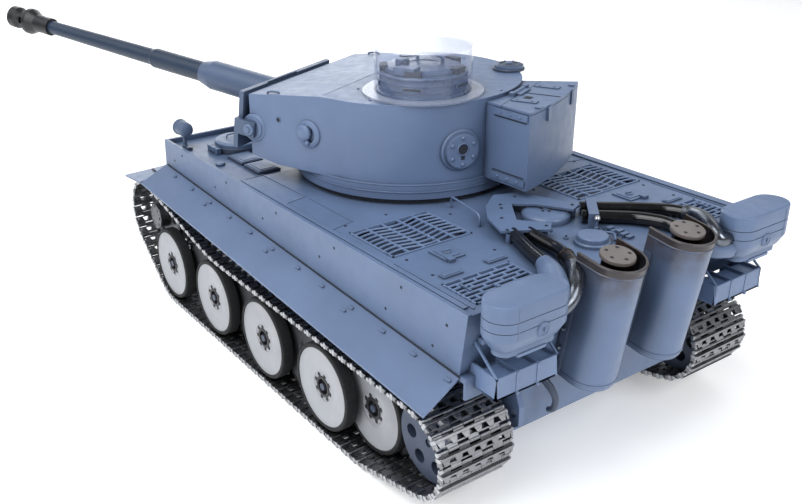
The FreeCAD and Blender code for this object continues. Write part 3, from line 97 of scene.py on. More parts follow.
class Finish:
    """A small helper that builds one node material."""

    def __init__(self, name, roughness=0.5, metallic=0.0):
        self.material = bpy.data.materials.new(name)
        self.material.use_nodes = True
        self.nodes = self.material.node_tree.nodes
        self.links = self.material.node_tree.links
        self.nodes.clear()
        self.output = self.nodes.new("ShaderNodeOutputMaterial")
        self.shader = self.nodes.new("ShaderNodeBsdfPrincipled")
        self.shader.inputs["Roughness"].default_value = roughness
        self.shader.inputs["Metallic"].default_value = metallic
        self.links.new(self.shader.outputs[0], self.output.inputs[0])
        self.place = self.nodes.new("ShaderNodeNewGeometry").outputs["Position"]

    def noise(self, size_mm, detail=3.0, roughness=0.55):
        """Noise whose blobs are about this many millimetres across."""
        node = self.nodes.new("ShaderNodeTexNoise")
        node.inputs["Scale"].default_value = 1000.0 / size_mm
        node.inputs["Detail"].default_value = detail
        node.inputs["Roughness"].default_value = roughness
        self.links.new(self.place, node.inputs["Vector"])
        return node.outputs["Fac"]

    def ramp(self, value, low, high, bottom=0.0, top=1.0):
        """Maps a range of a value to another range, clamped."""
        node = self.nodes.new("ShaderNodeMapRange")
        for name, number in (("From Min", low), ("From Max", high), ("To Min", bottom), ("To Max", top)):
            node.inputs[name].default_value = number
        self.links.new(value, node.inputs["Value"])
        return node.outputs[0]

    def math(self, operation, a, b):
        """One arithmetic step between two values, either of which may be a number."""
        node = self.nodes.new("ShaderNodeMath")
        node.operation = operation
        for slot, value in enumerate((a, b)):
            if isinstance(value, (int, float)):
                node.inputs[slot].default_value = value
            else:
                self.links.new(value, node.inputs[slot])
        return node.outputs[0]

    def mix(self, factor, a, b):
        """Mixes two colours, each a tuple or a socket."""
        node = self.nodes.new("ShaderNodeMix")
        node.data_type = "RGBA"
        if isinstance(factor, (int, float)):
            node.inputs[0].default_value = factor
        else:
            self.links.new(factor, node.inputs[0])
        for slot, value in ((6, a), (7, b)):
            if isinstance(value, tuple):
                node.inputs[slot].default_value = (*value, 1.0)
            else:
                self.links.new(value, node.inputs[slot])
        return node.outputs[2]

    def colour(self, value):
        """Sets the base colour."""
        if isinstance(value, tuple):
            self.shader.inputs["Base Color"].default_value = (*value, 1.0)
        else:
            self.links.new(value, self.shader.inputs["Base Color"])

    def rough(self, size_mm, low, high):
        """Varies the roughness in patches of a size."""
        self.links.new(self.ramp(self.noise(size_mm), 0.3, 0.7, low, high), self.shader.inputs["Roughness"])

    def crevices(self, distance_mm):
        """0 in corners and gaps, 1 in the open."""
        node = self.nodes.new("ShaderNodeAmbientOcclusion")
        node.samples = 6
        node.inputs["Distance"].default_value = distance_mm * MM
        return node.outputs["AO"]

    def edges(self, radius_mm):
        """Rounds the shaded edges and returns a mask that is 1 on them."""
        bevel = self.nodes.new("ShaderNodeBevel")
        bevel.samples = 4
        bevel.inputs["Radius"].default_value = radius_mm * MM
        geometry = self.nodes.new("ShaderNodeNewGeometry")
        dot = self.nodes.new("ShaderNodeVectorMath")
        dot.operation = "DOT_PRODUCT"
        self.links.new(bevel.outputs[0], dot.inputs[0])
        self.links.new(geometry.outputs["True Normal"], dot.inputs[1])
        self.rounded = bevel.outputs[0]
        return self.ramp(dot.outputs["Value"], 0.995, 0.86)

    def bump(self, height, depth_mm, strength=1.0):
        """Adds fine relief on top of any rounded edges."""
        node = self.nodes.new("ShaderNodeBump")
        node.inputs["Strength"].default_value = strength
        node.inputs["Distance"].default_value = depth_mm * MM
        self.links.new(height, node.inputs["Height"])
        if hasattr(self, "rounded"):
            self.links.new(self.rounded, node.inputs["Normal"])
        self.links.new(node.outputs[0], self.shader.inputs["Normal"])


def shade(colour, factor):
    """A colour made lighter or darker."""
    return tuple(channel * factor for channel in colour)


def paint(name, colour, roughness=0.5, edge_wear_and_highlight=1.35, painted_shade=0.35, grain_mm=0.5, edge_mm=0.35, relief=0.012):
    """Sprayed paint: faint mottling, edges lightened for wear and as painted highlights, painted shade in crevices
    and recesses, fine grain.
    """
    finish = Finish(name, roughness)
    cloud = finish.noise(28.0, 4.0)
    speck = finish.noise(1.4, 2.0)
    base = finish.mix(finish.ramp(cloud, 0.35, 0.68), shade(colour, 0.93), shade(colour, 1.06))
    base = finish.mix(finish.ramp(speck, 0.55, 0.8, 0.0, 0.35), base, shade(colour, 0.86))
    # Edges lightened for paint wear and as painted highlights.
    wear_and_highlight = finish.math("MULTIPLY", finish.edges(edge_mm), finish.ramp(finish.noise(5.0), 0.3, 0.6, 0.25, 0.9))
    base = finish.mix(wear_and_highlight, base, shade(colour, edge_wear_and_highlight))
    # Painted shade: darker in crevices (3.2 mm) and in larger recesses (17 mm), found by ambient occlusion.
    crevice_shade = finish.ramp(finish.crevices(3.2), 0.35, 0.95, painted_shade, 0.0)
    base = finish.mix(crevice_shade, base, shade(colour, 0.16))
    recess_shade = finish.ramp(finish.crevices(17.0), 0.3, 0.95, painted_shade * 0.75, 0.0)
    base = finish.mix(recess_shade, base, shade(colour, 0.36))
    finish.colour(base)
    finish.rough(6.0, roughness - 0.06, roughness + 0.08)
    finish.bump(finish.noise(grain_mm, 2.0), relief, 0.5)
    return finish.material


def metal(name, colour, roughness, dark=0.25, wear_mm=2.0, metallic=1.0, painted_recess_shade=0.8, relief=0.6):
    """Bare metal: bright where it is rubbed, edges lightened for wear and as painted highlights, painted shade in its
    recesses.
    """
    finish = Finish(name, roughness, metallic)
    rub = finish.ramp(finish.noise(wear_mm, 4.0), 0.35, 0.7)
    base = finish.mix(rub, shade(colour, 0.78), colour)
    # Edges lightened for wear and as painted highlights.
    base = finish.mix(finish.edges(0.18), base, shade(colour, 1.3))
    # Painted shade in the recesses, found by ambient occlusion.
    deep = finish.ramp(finish.crevices(2.4), 0.3, 0.9, painted_recess_shade, 0.0)
    base = finish.mix(deep, base, shade(colour, dark * 0.3))
    finish.colour(base)
    finish.rough(wear_mm * 0.6, roughness - 0.1, roughness + 0.14)
    finish.bump(finish.noise(0.35, 3.0), 0.02, relief)
    return finish.material


def rubber(name, colour, roughness):
    """Moulded rubber with a faint bloom."""
    finish = Finish(name, roughness)
    bloom = finish.ramp(finish.noise(6.0, 4.0), 0.35, 0.75)
    finish.colour(finish.mix(bloom, colour, shade(colour, 1.8)))
    finish.rough(3.0, roughness - 0.05, roughness + 0.12)
    finish.bump(finish.noise(0.6, 2.0), 0.02, 0.5)
    return finish.material


def hose_finish():
    """Glossy black hose with soft ripples."""
    finish = Finish("hose_black", 0.12)
    bloom = finish.ramp(finish.noise(4.0), 0.4, 0.7)
    finish.colour(finish.mix(bloom, (0.003, 0.003, 0.0035), (0.007, 0.007, 0.008)))
    finish.rough(5.0, 0.08, 0.18)
    finish.bump(finish.noise(3.5, 2.0), 0.03, 0.35)
    return finish.material


def stained(name, colour, stain, start_mm, end_mm, roughness=0.45):
    """Paint that browns with heat towards a height, with edges lightened for wear and as painted highlights, and
    painted shade in its crevices and deep recesses.
    """
    finish = Finish(name, roughness)
    split = finish.nodes.new("ShaderNodeSeparateXYZ")
    finish.links.new(finish.place, split.inputs[0])
    height = finish.ramp(split.outputs["Z"], start_mm * MM, end_mm * MM)
    cloud = finish.ramp(finish.noise(11.0, 4.0), 0.3, 0.72, 0.5, 1.3)
    heat = finish.math("POWER", finish.math("MULTIPLY", height, cloud), 1.5)
    heat.node.use_clamp = True
    tint = finish.ramp(finish.noise(30.0), 0.35, 0.68)
    base = finish.mix(tint, shade(colour, 0.95), shade(colour, 1.05))
    base = finish.mix(heat, base, stain)
    # Edges lightened for wear and as painted highlights; painted shade in the crevices.
    base = finish.mix(finish.edges(0.3), base, shade(colour, 1.25))
    base = finish.mix(finish.ramp(finish.crevices(3.0), 0.35, 0.95, 0.6, 0.0), base, shade(colour, 0.15))
    # Painted shade over 30 mm: the deep shadow between the filter and the shields.
    base = finish.mix(finish.ramp(finish.crevices(30.0), 0.35, 0.92, 0.9, 0.0), base, shade(colour, 0.2))
    finish.colour(base)
    finish.rough(6.0, roughness - 0.06, roughness + 0.08)
    finish.bump(finish.noise(0.5, 2.0), 0.012, 0.5)
    return finish.material


def clear_finish():
    """Clear polished plastic with a painted whitish sheen on its upward faces and painted highlights along its rims.
    """
    finish = Finish("clear_plastic", 0.04)
    gloss = finish.nodes.new("ShaderNodeBsdfGlossy")
    gloss.inputs["Roughness"].default_value = 0.17
    clear_part = finish.nodes.new("ShaderNodeBsdfTransparent")
    clear_part.inputs["Color"].default_value = (0.95, 0.96, 0.985, 1.0)
    fresnel = finish.nodes.new("ShaderNodeFresnel")
    fresnel.inputs["IOR"].default_value = 1.42
    geometry = finish.nodes.new("ShaderNodeNewGeometry")
    split = finish.nodes.new("ShaderNodeSeparateXYZ")
    finish.links.new(geometry.outputs["True Normal"], split.inputs[0])
    outside = finish.math("SUBTRACT", 1.0, geometry.outputs["Backfacing"])
    shine = finish.math("MULTIPLY", fresnel.outputs[0], outside)
    # Painted sheen: upward faces turn whitish, standing in for the reflection of the lights above.
    upward = finish.ramp(finish.math("ABSOLUTE", split.outputs["Z"], 0.0), 0.6, 0.95, 0.0, 1.0)
    sheen_patches = finish.ramp(finish.noise(9.0), 0.3, 0.75, 0.16, 0.3)
    painted_sheen = finish.math("ADD", finish.math("MULTIPLY", upward, sheen_patches), 0.02)
    # Painted highlights along the rims.
    painted_sheen = finish.math("ADD", painted_sheen, finish.math("MULTIPLY", finish.edges(0.18), 0.6))
    # The whitish diffuse that carries the painted sheen and highlights.
    finish.shader.inputs["Roughness"].default_value = 0.25
    finish.colour((0.70, 0.77, 0.95))
    shiny = finish.nodes.new("ShaderNodeMixShader")
    finish.links.new(shine, shiny.inputs[0])
    finish.links.new(clear_part.outputs[0], shiny.inputs[1])
    finish.links.new(gloss.outputs[0], shiny.inputs[2])
    sheen_mix = finish.nodes.new("ShaderNodeMixShader")
    finish.links.new(painted_sheen, sheen_mix.inputs[0])
    finish.links.new(shiny.outputs[0], sheen_mix.inputs[1])
    finish.links.new(finish.shader.outputs[0], sheen_mix.inputs[2])
    finish.links.new(sheen_mix.outputs[0], finish.output.inputs[0])
    return finish.material


BLUE = (0.112, 0.163, 0.278)
body_paint = paint("body_paint", BLUE, 0.4, edge_wear_and_highlight=1.55, painted_shade=0.75)
deck_paint = paint("deck_paint", shade(BLUE, 0.98), 0.36, edge_wear_and_highlight=1.55, painted_shade=0.8)
# A lighter copy of the body blue with little painted shade, standing in for the stronger light on the grille bars and
# tail boxes.
lit_blue_paint = paint("lit_blue_paint", shade(BLUE, 1.12), 0.36, edge_wear_and_highlight=1.5, painted_shade=0.2)
mantlet_paint = paint("mantlet_paint", shade(BLUE, 0.62), 0.4)
drum_paint = paint("drum_paint", (0.092, 0.132, 0.222), 0.3, edge_wear_and_highlight=1.7, painted_shade=0.1)
# A darker copy of the wheel grey: painted shade for the inner wheels, which sit further in.
shaded_wheel_paint = paint("shaded_wheel_paint", (0.085, 0.087, 0.095), 0.5, painted_shade=0.6)
dark_paint = paint("dark_paint", (0.045, 0.062, 0.105), 0.45, painted_shade=0.5)
barrel_paint = paint("barrel_paint", (0.016, 0.031, 0.060), 0.42, edge_wear_and_highlight=1.6)
black_paint = paint("black_paint", (0.012, 0.012, 0.014), 0.38, edge_wear_and_highlight=2.2)
deep_shadow = paint("inner_dark", (0.012, 0.016, 0.028), 0.7, edge_wear_and_highlight=1.2)
wheel_paint = paint("wheel_paint", (0.355, 0.365, 0.39), 0.38, edge_wear_and_highlight=1.15,
                    painted_shade=0.7, grain_mm=1.3, relief=0.05)
hub_dark = paint("hub_dark", (0.016, 0.017, 0.02), 0.45)
tyre_rubber = rubber("tyre_rubber", (0.0045, 0.0047, 0.0055), 0.72)
track_metal = metal("track_metal", (0.30, 0.305, 0.32), 0.34, wear_mm=1.4, painted_recess_shade=1.0)
bright_metal = metal("bright_metal", (0.50, 0.51, 0.53), 0.3, painted_recess_shade=0.6)
sprocket_metal = metal("sprocket_metal", (0.20, 0.205, 0.22), 0.42)
pipe_metal = metal("pipe_metal", (0.17, 0.185, 0.215), 0.26, wear_mm=9.0, painted_recess_shade=0.4, relief=0.25)
hot_metal = metal("hot_metal", (0.075, 0.058, 0.052), 0.3, wear_mm=6.0, painted_recess_shade=0.4, relief=0.3)
rim_brown = paint("rim_brown", (0.038, 0.032, 0.034), 0.34, edge_wear_and_highlight=2.6)
cap_taupe = paint("cap_taupe", (0.150, 0.130, 0.125), 0.42, edge_wear_and_highlight=1.3)
hose_black = hose_finish()
clear = clear_finish()
board_green = paint("board_green", (0.02, 0.13, 0.05), 0.45)
black_plastic = rubber("black_plastic", (0.02, 0.02, 0.022), 0.5)
shield_paint = stained("shield_paint", BLUE, (0.055, 0.044, 0.045), 98.0, 122.0, 0.36)

# ---------------------------------------------------------------- shapes


def around(count, radius, start=0.0):
    """Points at equal steps round a circle, from an angle in radians."""
    angles = [2 * math.pi * k / count + start for k in range(count)]
    return [(radius * math.cos(angle), radius * math.sin(angle)) for angle in angles]


def across(side, a, b):
    """A stretch of Y from a to b on the left (1) or right (-1), in rising order."""
    return sorted((side * a, side * b))


class Shape:
    """A growing mesh in millimetres; each face has a material number."""

    def __init__(self):
        self.points = []
        self.faces = []
        self.looks = []
        self.smooth = []

    def add(self, points, faces, look=0, smooth=False, at=None):
        """Adds points and faces, optionally moved by a matrix."""
        base = len(self.points)
        step = -1 if at is not None and at.determinant() < 0 else 1
        self.points += [Vector(p) if at is None else at @ Vector(p) for p in points]
        self.faces += [[base + i for i in face[::step]] for face in faces]
        self.looks += [look] * len(faces)
        self.smooth += [smooth] * len(faces)

    def slab(self, near, far, look=0, at=None):
        """A solid between two four-cornered faces."""
        faces = [(0, 1, 2, 3), (7, 6, 5, 4), (0, 4, 5, 1), (1, 5, 6, 2), (2, 6, 7, 3), (3, 7, 4, 0)]
        self.add([*near, *far], faces, look, False, at)

    def merge(self, other, at=None):
        """Adds another shape, optionally moved by a matrix."""
        base = len(self.points)
        step = -1 if at is not None and at.determinant() < 0 else 1
        self.points += [p if at is None else at @ p for p in other.points]
        self.faces += [[base + i for i in face[::step]] for face in other.faces]
        self.looks += other.looks
        self.smooth += other.smooth

    def block(self, x0, x1, y0, y1, z0, z1, look=0, at=None):
        """A box between two corners."""
        points = [(x, y, z) for z in (z0, z1) for y in (y0, y1) for x in (x0, x1)]
        faces = [(0, 2, 3, 1), (4, 5, 7, 6), (0, 1, 5, 4), (2, 6, 7, 3), (0, 4, 6, 2), (1, 3, 7, 5)]
        self.add(points, faces, look, False, at)

    def prism(self, outline, z0, z1, look=0, at=None, inset=0.0):
        """A flat outline, counter-clockwise, between two heights; a small inset rounds its top edge."""
        count = len(outline)
        layers = [(z0, 0.0), (z1, 0.0)]
        if inset:
            layers = [(z0, 0.0), (z1 - inset, 0.0), (z1 - inset * 0.3, inset * 0.3), (z1, inset)]
        cx = sum(p[0] for p in outline) / count
        cy = sum(p[1] for p in outline) / count
        points = []
        for z, pull in layers:
            for x, y in outline:
                away = math.hypot(x - cx, y - cy) or 1.0
                points.append((x - (x - cx) / away * pull, y - (y - cy) / away * pull, z))
        faces = [range(count)[::-1]]
        for layer in range(len(layers) - 1):
            low, high = layer * count, (layer + 1) * count
            for i in range(count):
                j = (i + 1) % count
                faces.append((low + i, low + j, high + j, high + i))
        top = (len(layers) - 1) * count
        faces.append(range(top, top + count))
        self.add(points, faces, look, False, at)

    def lathe(self, profile, look=0, at=None, segments=48, smooth=True):
        """(radius, height) points spun round +Z; a radius of 0 closes an end."""
        points = []
        rows = []
        for radius, height in profile:
            corners = around(segments, radius) if radius else [(0, 0)]
            rows.append(range(len(points), len(points) + len(corners)))
            points += [(x, y, height) for x, y in corners]
        faces = []
        for low, high in zip(rows, rows[1:]):
            for k in range(segments):
                n = (k + 1) % segments
                corners = (low[k % len(low)], low[n % len(low)], high[n % len(high)], high[k % len(high)])
                faces.append(list(dict.fromkeys(corners)))
        self.add(points, [face for face in faces if len(face) > 2], look, smooth, at)

    def tube(self, path, radius, look=0, segments=20, looks=None):
        """A round tube along points; radius is one number or one per point, looks one per span."""
        count = len(path)
        path = [Vector(p) for p in path]
        radii = radius if isinstance(radius, list) else [radius] * count
        looks = looks or [look] * (count - 1)
        sideways = None
        rings = []
        for i, here in enumerate(path):
            along = (path[min(i + 1, count - 1)] - path[max(i - 1, 0)]).normalized()
            if sideways is None:
                sideways = along.orthogonal().normalized()
            sideways = (sideways - along * sideways.dot(along)).normalized()
            other = along.cross(sideways)
            rings.append([here + sideways * x + other * y for x, y in around(segments, radii[i])])
        turn = [(k, (k + 1) % segments) for k in range(segments)]
        for low, high, span_look in zip(rings, rings[1:], looks):
            self.add(low + high, [(k, n, segments + n, segments + k) for k, n in turn], span_look, True)
        self.add(rings[0], [range(segments)[::-1]], looks[0])
        self.add(rings[-1], [range(segments)], looks[-1])

    def bolt(self, centre, direction, radius=0.75, height=0.6, look=0, at=None, sides=6, domed=False):
        """A small bolt or rivet head standing on a surface."""
        turn = Vector((0, 0, 1)).rotation_difference(Vector(direction)).to_matrix().to_4x4()
        place = Matrix.Translation(Vector(centre)) @ turn
        if at is not None:
            place = at @ place
        if domed:
            profile = [(radius, 0), (radius * 0.92, height * 0.5), (radius * 0.6, height * 0.9), (0, height)]
            self.lathe(profile, look, place, 12)
        else:
            self.prism(around(sides, radius), 0, height, look, place, inset=radius * 0.2)

    def make(self, name, materials, body="hull", slot="grey_blue_paint", at=HULL, bevel=0.0):
        """Turns the shape into an object that rides on a body."""
        mesh = bpy.data.meshes.new(name)
        mesh.from_pydata([tuple(at @ p) for p in self.points], [], self.faces)
        for polygon, look, smooth in zip(mesh.polygons, self.looks, self.smooth):
            polygon.material_index = look
            polygon.use_smooth = smooth or bevel > 0
        for material in materials:
            mesh.materials.append(material)
        mesh.validate()
        joined = bmesh.new()
        joined.from_mesh(mesh)
        bmesh.ops.remove_doubles(joined, verts=joined.verts, dist=0.002 * MM)
        bmesh.ops.recalc_face_normals(joined, faces=joined.faces)
        joined.to_mesh(mesh)
        joined.free()
        mesh.set_sharp_from_angle(angle=math.radians(36))
        piece = bpy.data.objects.new(name, mesh)
        bpy.context.scene.collection.objects.link(piece)
        if bevel:
            edge = piece.modifiers.new("edge", "BEVEL")
            edge.width = bevel * MM
            edge.segments = 2
            edge.limit_method = "ANGLE"
            edge.angle_limit = math.radians(38)
            edge.harden_normals = True
        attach(piece, body)
        return piece


def place_at(x, y, z, axis="Z", spin=0.0):
    """A matrix that puts local +Z along an axis name such as "Y" or "-Y" at a point."""
    directions = {"X": (1, 0, 0), "-X": (-1, 0, 0), "Y": (0, 1, 0), "-Y": (0, -1, 0), "Z": (0, 0, 1)}
    turn = Vector((0, 0, 1)).rotation_difference(Vector(directions[axis])).to_matrix().to_4x4()
    return Matrix.Translation((x, y, z)) @ turn @ Matrix.Rotation(spin, 4, "Z")


def smooth_path(points, steps=8):
    """A Catmull-Rom curve through points."""
    pts = [Vector(p) for p in points]
    pts = [pts[0] * 2 - pts[1]] + pts + [pts[-1] * 2 - pts[-2]]
    path = []
    for a, b, c, d in zip(pts, pts[1:], pts[2:], pts[3:]):
        for k in range(steps):
            t = k / steps
            path.append(0.5 * ((2 * b) + (c - a) * t + (2 * a - 5 * b + 4 * c - d) * t * t
                               + (3 * b - a - 3 * c + d) * t ** 3))
    path.append(pts[-2])
    return path


def arc_points(cx, cy, radius, start, end, count):
    """Points on an arc, angles in degrees."""
    return [(cx + radius * math.cos(math.radians(start + (end - start) * k / (count - 1))),
             cy + radius * math.sin(math.radians(start + (end - start) * k / (count - 1))))
            for k in range(count)]


def both_sides(part):
    """A shape with its mirror image on the other side of the hull."""
    pair = Shape()
    pair.merge(part)
    pair.merge(part, MIRROR)
    return pair


def dress(node, material):
    """Gives a CAD node its material."""
    mesh = frame["nodes"][node].data
    mesh.materials.clear()
    mesh.materials.append(material)


for cad_node in frame["nodes"]:
    dress(cad_node, body_paint)
for cad_node in ("swing_arms", "final_drives"):
    dress(cad_node, dark_paint)
for cad_node in ("drive_sprocket_left", "drive_sprocket_right"):
    dress(cad_node, sprocket_metal)
for cad_node in ("idler_wheel_left", "idler_wheel_right"):
    dress(cad_node, dark_paint)
dress("track_pins", bright_metal)
dress("upper_hull", deck_paint)
dress("gun_barrel", barrel_paint)
dress("muzzle_brake", black_paint)
dress("mantlet", mantlet_paint)
dress("mufflers", hot_metal)
dress("clear_cover", clear)
dress("electronics", board_green)
dress("battery", black_plastic)
dress("gearboxes", black_plastic)
dress("power_switch", black_plastic)
dress("hull_gun", dark_paint)

# ---------------------------------------------------------------- tracks

AXLE_Z = 28.7
AXLE_PITCH = 32.2
FIRST_AXLE = 295.6
SPROCKET_PITCH_R = 25.9
IDLER_PITCH_R = 22.3
GROUSER = 2.2
LINKS = 94
TRACK_Y = 88.2


def axle_x(number):
    """How far forward an axle is."""
    return FIRST_AXLE - (number - 1) * AXLE_PITCH


def pin_places():
    """(x, z) of each track pin in running order, at equal steps along the loop."""
    sprocket = hull_mm(joints["drive_sprocket_left_spin"]["pos_m"])
    idler = hull_mm(joints["idler_wheel_left_spin"]["pos_m"])
    wheel_r = AXLE_Z - GROUSER
    bend_r = 120.0
    circles = [(idler.x, idler.z, IDLER_PITCH_R), (axle_x(8), AXLE_Z, wheel_r), (axle_x(1), AXLE_Z, wheel_r),
               (sprocket.x, sprocket.z, SPROCKET_PITCH_R), (215.0, 57.9 + bend_r, -bend_r)]
    headings = []
    for (x1, z1, r1), (x2, z2, r2) in zip(circles, circles[1:] + circles[:1]):
        reach = math.hypot(x2 - x1, z2 - z1)
        headings.append(math.atan2(z2 - z1, x2 - x1) + math.asin((r1 - r2) / reach))
    spans = []
    for i, (x, z, r) in enumerate(circles):
        turn = (headings[i] - headings[i - 1] + math.pi) % (2 * math.pi) - math.pi
        spans.append(("arc", (x, z, r, headings[i - 1], turn), abs(r * turn)))
        x2, z2, r2 = circles[(i + 1) % len(circles)]
        h = headings[i]
        start = (x + r * math.sin(h), z - r * math.cos(h))
        end = (x2 + r2 * math.sin(h), z2 - r2 * math.cos(h))
        spans.append(("run", (start, end), math.dist(start, end)))
    total = sum(span[2] for span in spans)
    pins = []
    for k in range(LINKS):
        left = total * k / LINKS
        for kind, facts, length in spans:
            if left <= length:
                break
            left -= length
        share = left / length
        if kind == "arc":
            x, z, r, heading, turn = facts
            angle = heading + turn * share
            pins.append((x + r * math.sin(angle), z - r * math.cos(angle)))
        else:
            (x1, z1), (x2, z2) = facts
            pins.append((x1 + (x2 - x1) * share, z1 + (z2 - z1) * share))
    return pins


def link_shape(pitch):
    """One cast shoe: pin bosses, cross bar, cleat with a zigzag of teeth, windows and a guide horn."""
    shoe = Shape()
    half = 21.8
    bosses = 7
    boss_width = half * 2 / bosses
    for k in range(bosses):
        pin_x = pitch if k % 2 else 0.0
        y0 = -half + k * boss_width + 0.12
        y1 = y0 + boss_width - 0.24
        shoe.lathe([(0, 0), (1.15, 0), (1.15, y1 - y0), (0, y1 - y0)], 0,
                   place_at(pin_x, y0, 0, "Y"), 12, False)
        web0, web1 = (pitch - 2.6, pitch) if k % 2 else (0.0, 2.0)
        shoe.block(web0, web1, y0, y1, -0.85, 0.85, 0)
    shoe.block(1.6, 2.9, -half, half, -1.1, 0.9, 0)
    shoe.block(1.9, 3.0, -half + 0.3, half - 0.3, -GROUSER, -1.1, 0)
    teeth = 6
    step = half * 2 / teeth
    for k in range(teeth):
        middle = -half + (k + 0.5) * step
        wide, narrow = step * 0.33, step * 0.17
        tooth = [(2.9, middle - wide), (5.9, middle - narrow), (5.9, middle + narrow), (2.9, middle + wide)]
        shoe.prism(tooth, -1.75, 0.7)
    for side in (-1, 1):
        y0, y1 = across(side, half, half - 1.3)
        shoe.block(2.9, 6.4, y0, y1, -1.5, 0.8, 0)
        shoe.lathe([(0, 0), (1.0, 0.05), (1.25, 0.25), (1.25, 1.6), (0, 1.6)], 1,
                   place_at(pitch, side * (half + 0.1), 0, "-Y" if side > 0 else "Y"), 10, False)
        y0, y1 = across(side, half + 0.05, half - 1.0)
        shoe.block(1.7, 3.4, y0, y1, -2.1, 1.2, 1)
    shoe.block(5.6, 6.3, -half, half, -0.9, 0.7, 0)
    shoe.slab([(2.3, -2.0, 0.8), (5.9, -2.0, 0.8), (5.9, 2.0, 0.8), (2.3, 2.0, 0.8)],
              [(3.2, -1.1, 6.4), (4.8, -1.1, 6.4), (4.8, 1.1, 6.4), (3.2, 1.1, 6.4)])
    return shoe


def lay_track(side):
    """All the shoes of one track as one piece."""
    pins = pin_places()
    pitch = math.dist(pins[0], pins[1])
    pattern = link_shape(pitch)
    loop = Shape()
    for here, there in zip(pins, pins[1:] + pins[:1]):
        slope = math.atan2(there[1] - here[1], there[0] - here[0])
        place = Matrix.Translation((here[0], TRACK_Y, here[1])) @ Matrix.Rotation(-slope, 4, "Y")
        loop.merge(pattern, place if side == "left" else MIRROR @ place)
    piece = loop.make("track_shoes_" + side, [track_metal, bright_metal], "hull", "track_steel")
    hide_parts("track_" + side)


for track_side in ("left", "right"):
    lay_track(track_side)

# ---------------------------------------------------------------- wheels

OUTER_PAIR = ((69.0, 76.0), (101.0, 108.5))
INNER_PAIR = ((78.0, 85.0), (91.5, 98.5))


def tyre_profile(width):
    """A solid tyre with rounded shoulders on a flat tread, as (radius, height)."""
    tip = 24.9
    return [(22.4, 0.25), (23.4, 0.0), (24.3, 0.15), (24.75, 0.6), (tip, 1.3), (tip, width - 1.3),
            (24.75, width - 0.6), (24.3, width - 0.15), (23.4, width), (22.4, width - 0.25)]


def wheel_shape(pair):
    """Both dished discs with tyres, hub, bolt ring and hub hole; local +Z points outward, 0 at the hull."""
    wheel = Shape()
    for inner, outer in pair:
        wheel.lathe(tyre_profile(outer - inner), 1, place_at(0, 0, inner), 72)
        wheel.lathe([(22.5, 0.5), (21.3, 0.5), (19.5, 1.4), (9.0, 2.2), (6.0, 2.2)], 0,
                    place_at(0, 0, inner), 72)
        wheel.lathe([(22.5, -0.45), (21.9, -0.3), (21.3, -0.6), (20.6, -1.05), (12.0, -1.35), (9.3, -1.45),
                     (8.9, -1.2), (8.5, -1.2), (8.1, -1.55), (6.1, -1.6)], 0, place_at(0, 0, outer), 72)
    root, face = pair[0][0], pair[1][1]
    wheel.lathe([(6.1, root), (6.1, face - 1.6)], 0, None, 48)
    wheel.lathe([(6.1, -1.6), (5.9, -1.15), (4.6, -1.1), (4.4, -1.3)], 2, place_at(0, 0, face), 48)
    wheel.lathe([(4.4, -1.3), (4.2, -3.6), (0, -3.6)], 2, place_at(0, 0, face), 32)
    wheel.lathe([(2.4, -3.6), (2.4, -1.6), (2.0, -1.3), (0, -1.3)], 2, place_at(0, 0, face), 6, False)
    wheel.lathe([(2.06, root), (6.1, root)], 0, None, 48)
    for x, y in around(8, 7.0, math.radians(15.75)):
        wheel.bolt((x, y, face - 1.6), (0, 0, 1), 1.3, 0.25, 2, sides=12)
        wheel.bolt((x, y, face - 1.36), (0, 0, 1), 0.6, 0.35, 2)
    return wheel


for side in ("left", "right"):
    for number in range(1, 9):
        pair = OUTER_PAIR if number % 2 else INNER_PAIR
        place = place_at(axle_x(number), 0, AXLE_Z, "Y", 0.6 * number)
        wheel = Shape()
        wheel.merge(wheel_shape(pair), place if side == "left" else MIRROR @ place)
        name = "road_wheel_%s_%d" % (side, number)
        # Inner wheels 2, 4 and 6 get the darker copy as painted shade.
        face_paint = shaded_wheel_paint if number in (2, 4, 6) else wheel_paint
        piece = wheel.make(name + "_look", [face_paint, tyre_rubber, hub_dark], name, "wheel_paint")
        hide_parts(name)

# ---------------------------------------------------------------- hull sides and deck

DECK = 112.6    # the engine deck's top
ROOF = 110.0    # the front roof's top
RIM = 113.2     # the tail plate's top edge
SIDE_Y = 98.0   # the side plates' outer face

details = Shape()
screw_rows = [(101.6, 107.6), (115.9, 97.6), (45.9, 108.0), (13.4, 102.9), (22.8, 88.4), (58.0, 92.0),
              (160.0, 107.8), (176.0, 99.4), (220.0, 108.2), (236.0, 100.6), (283.0, 108.6), (296.0, 101.8)]
for side in (-1, 1):
    for x, z in screw_rows:
        details.bolt((x, side * SIDE_Y, z), (0, side, 0), 0.8, 0.14, 1, sides=10)
    low, high = across(side, 92.6, 95.4)
    details.block(6.0, 205.0, low, high, DECK, DECK + 0.8, 0)
    low, high = across(side, 90.6, 91.6)
    details.block(4.0, 60.0, low, high, DECK, DECK + 0.35, 0)
for x, y in ((40.0, 84.5), (92.0, 30.5), (60.0, 84.0), (112.0, 58.0), (112.0, 84.0), (44.0, 43.0)):
    for side in (-1, 1):
        details.bolt((x, side * y, DECK), (0, 0, 1), 0.8, 0.25, 1, sides=10)
details.make("hull_screws", [deck_paint, deep_shadow])


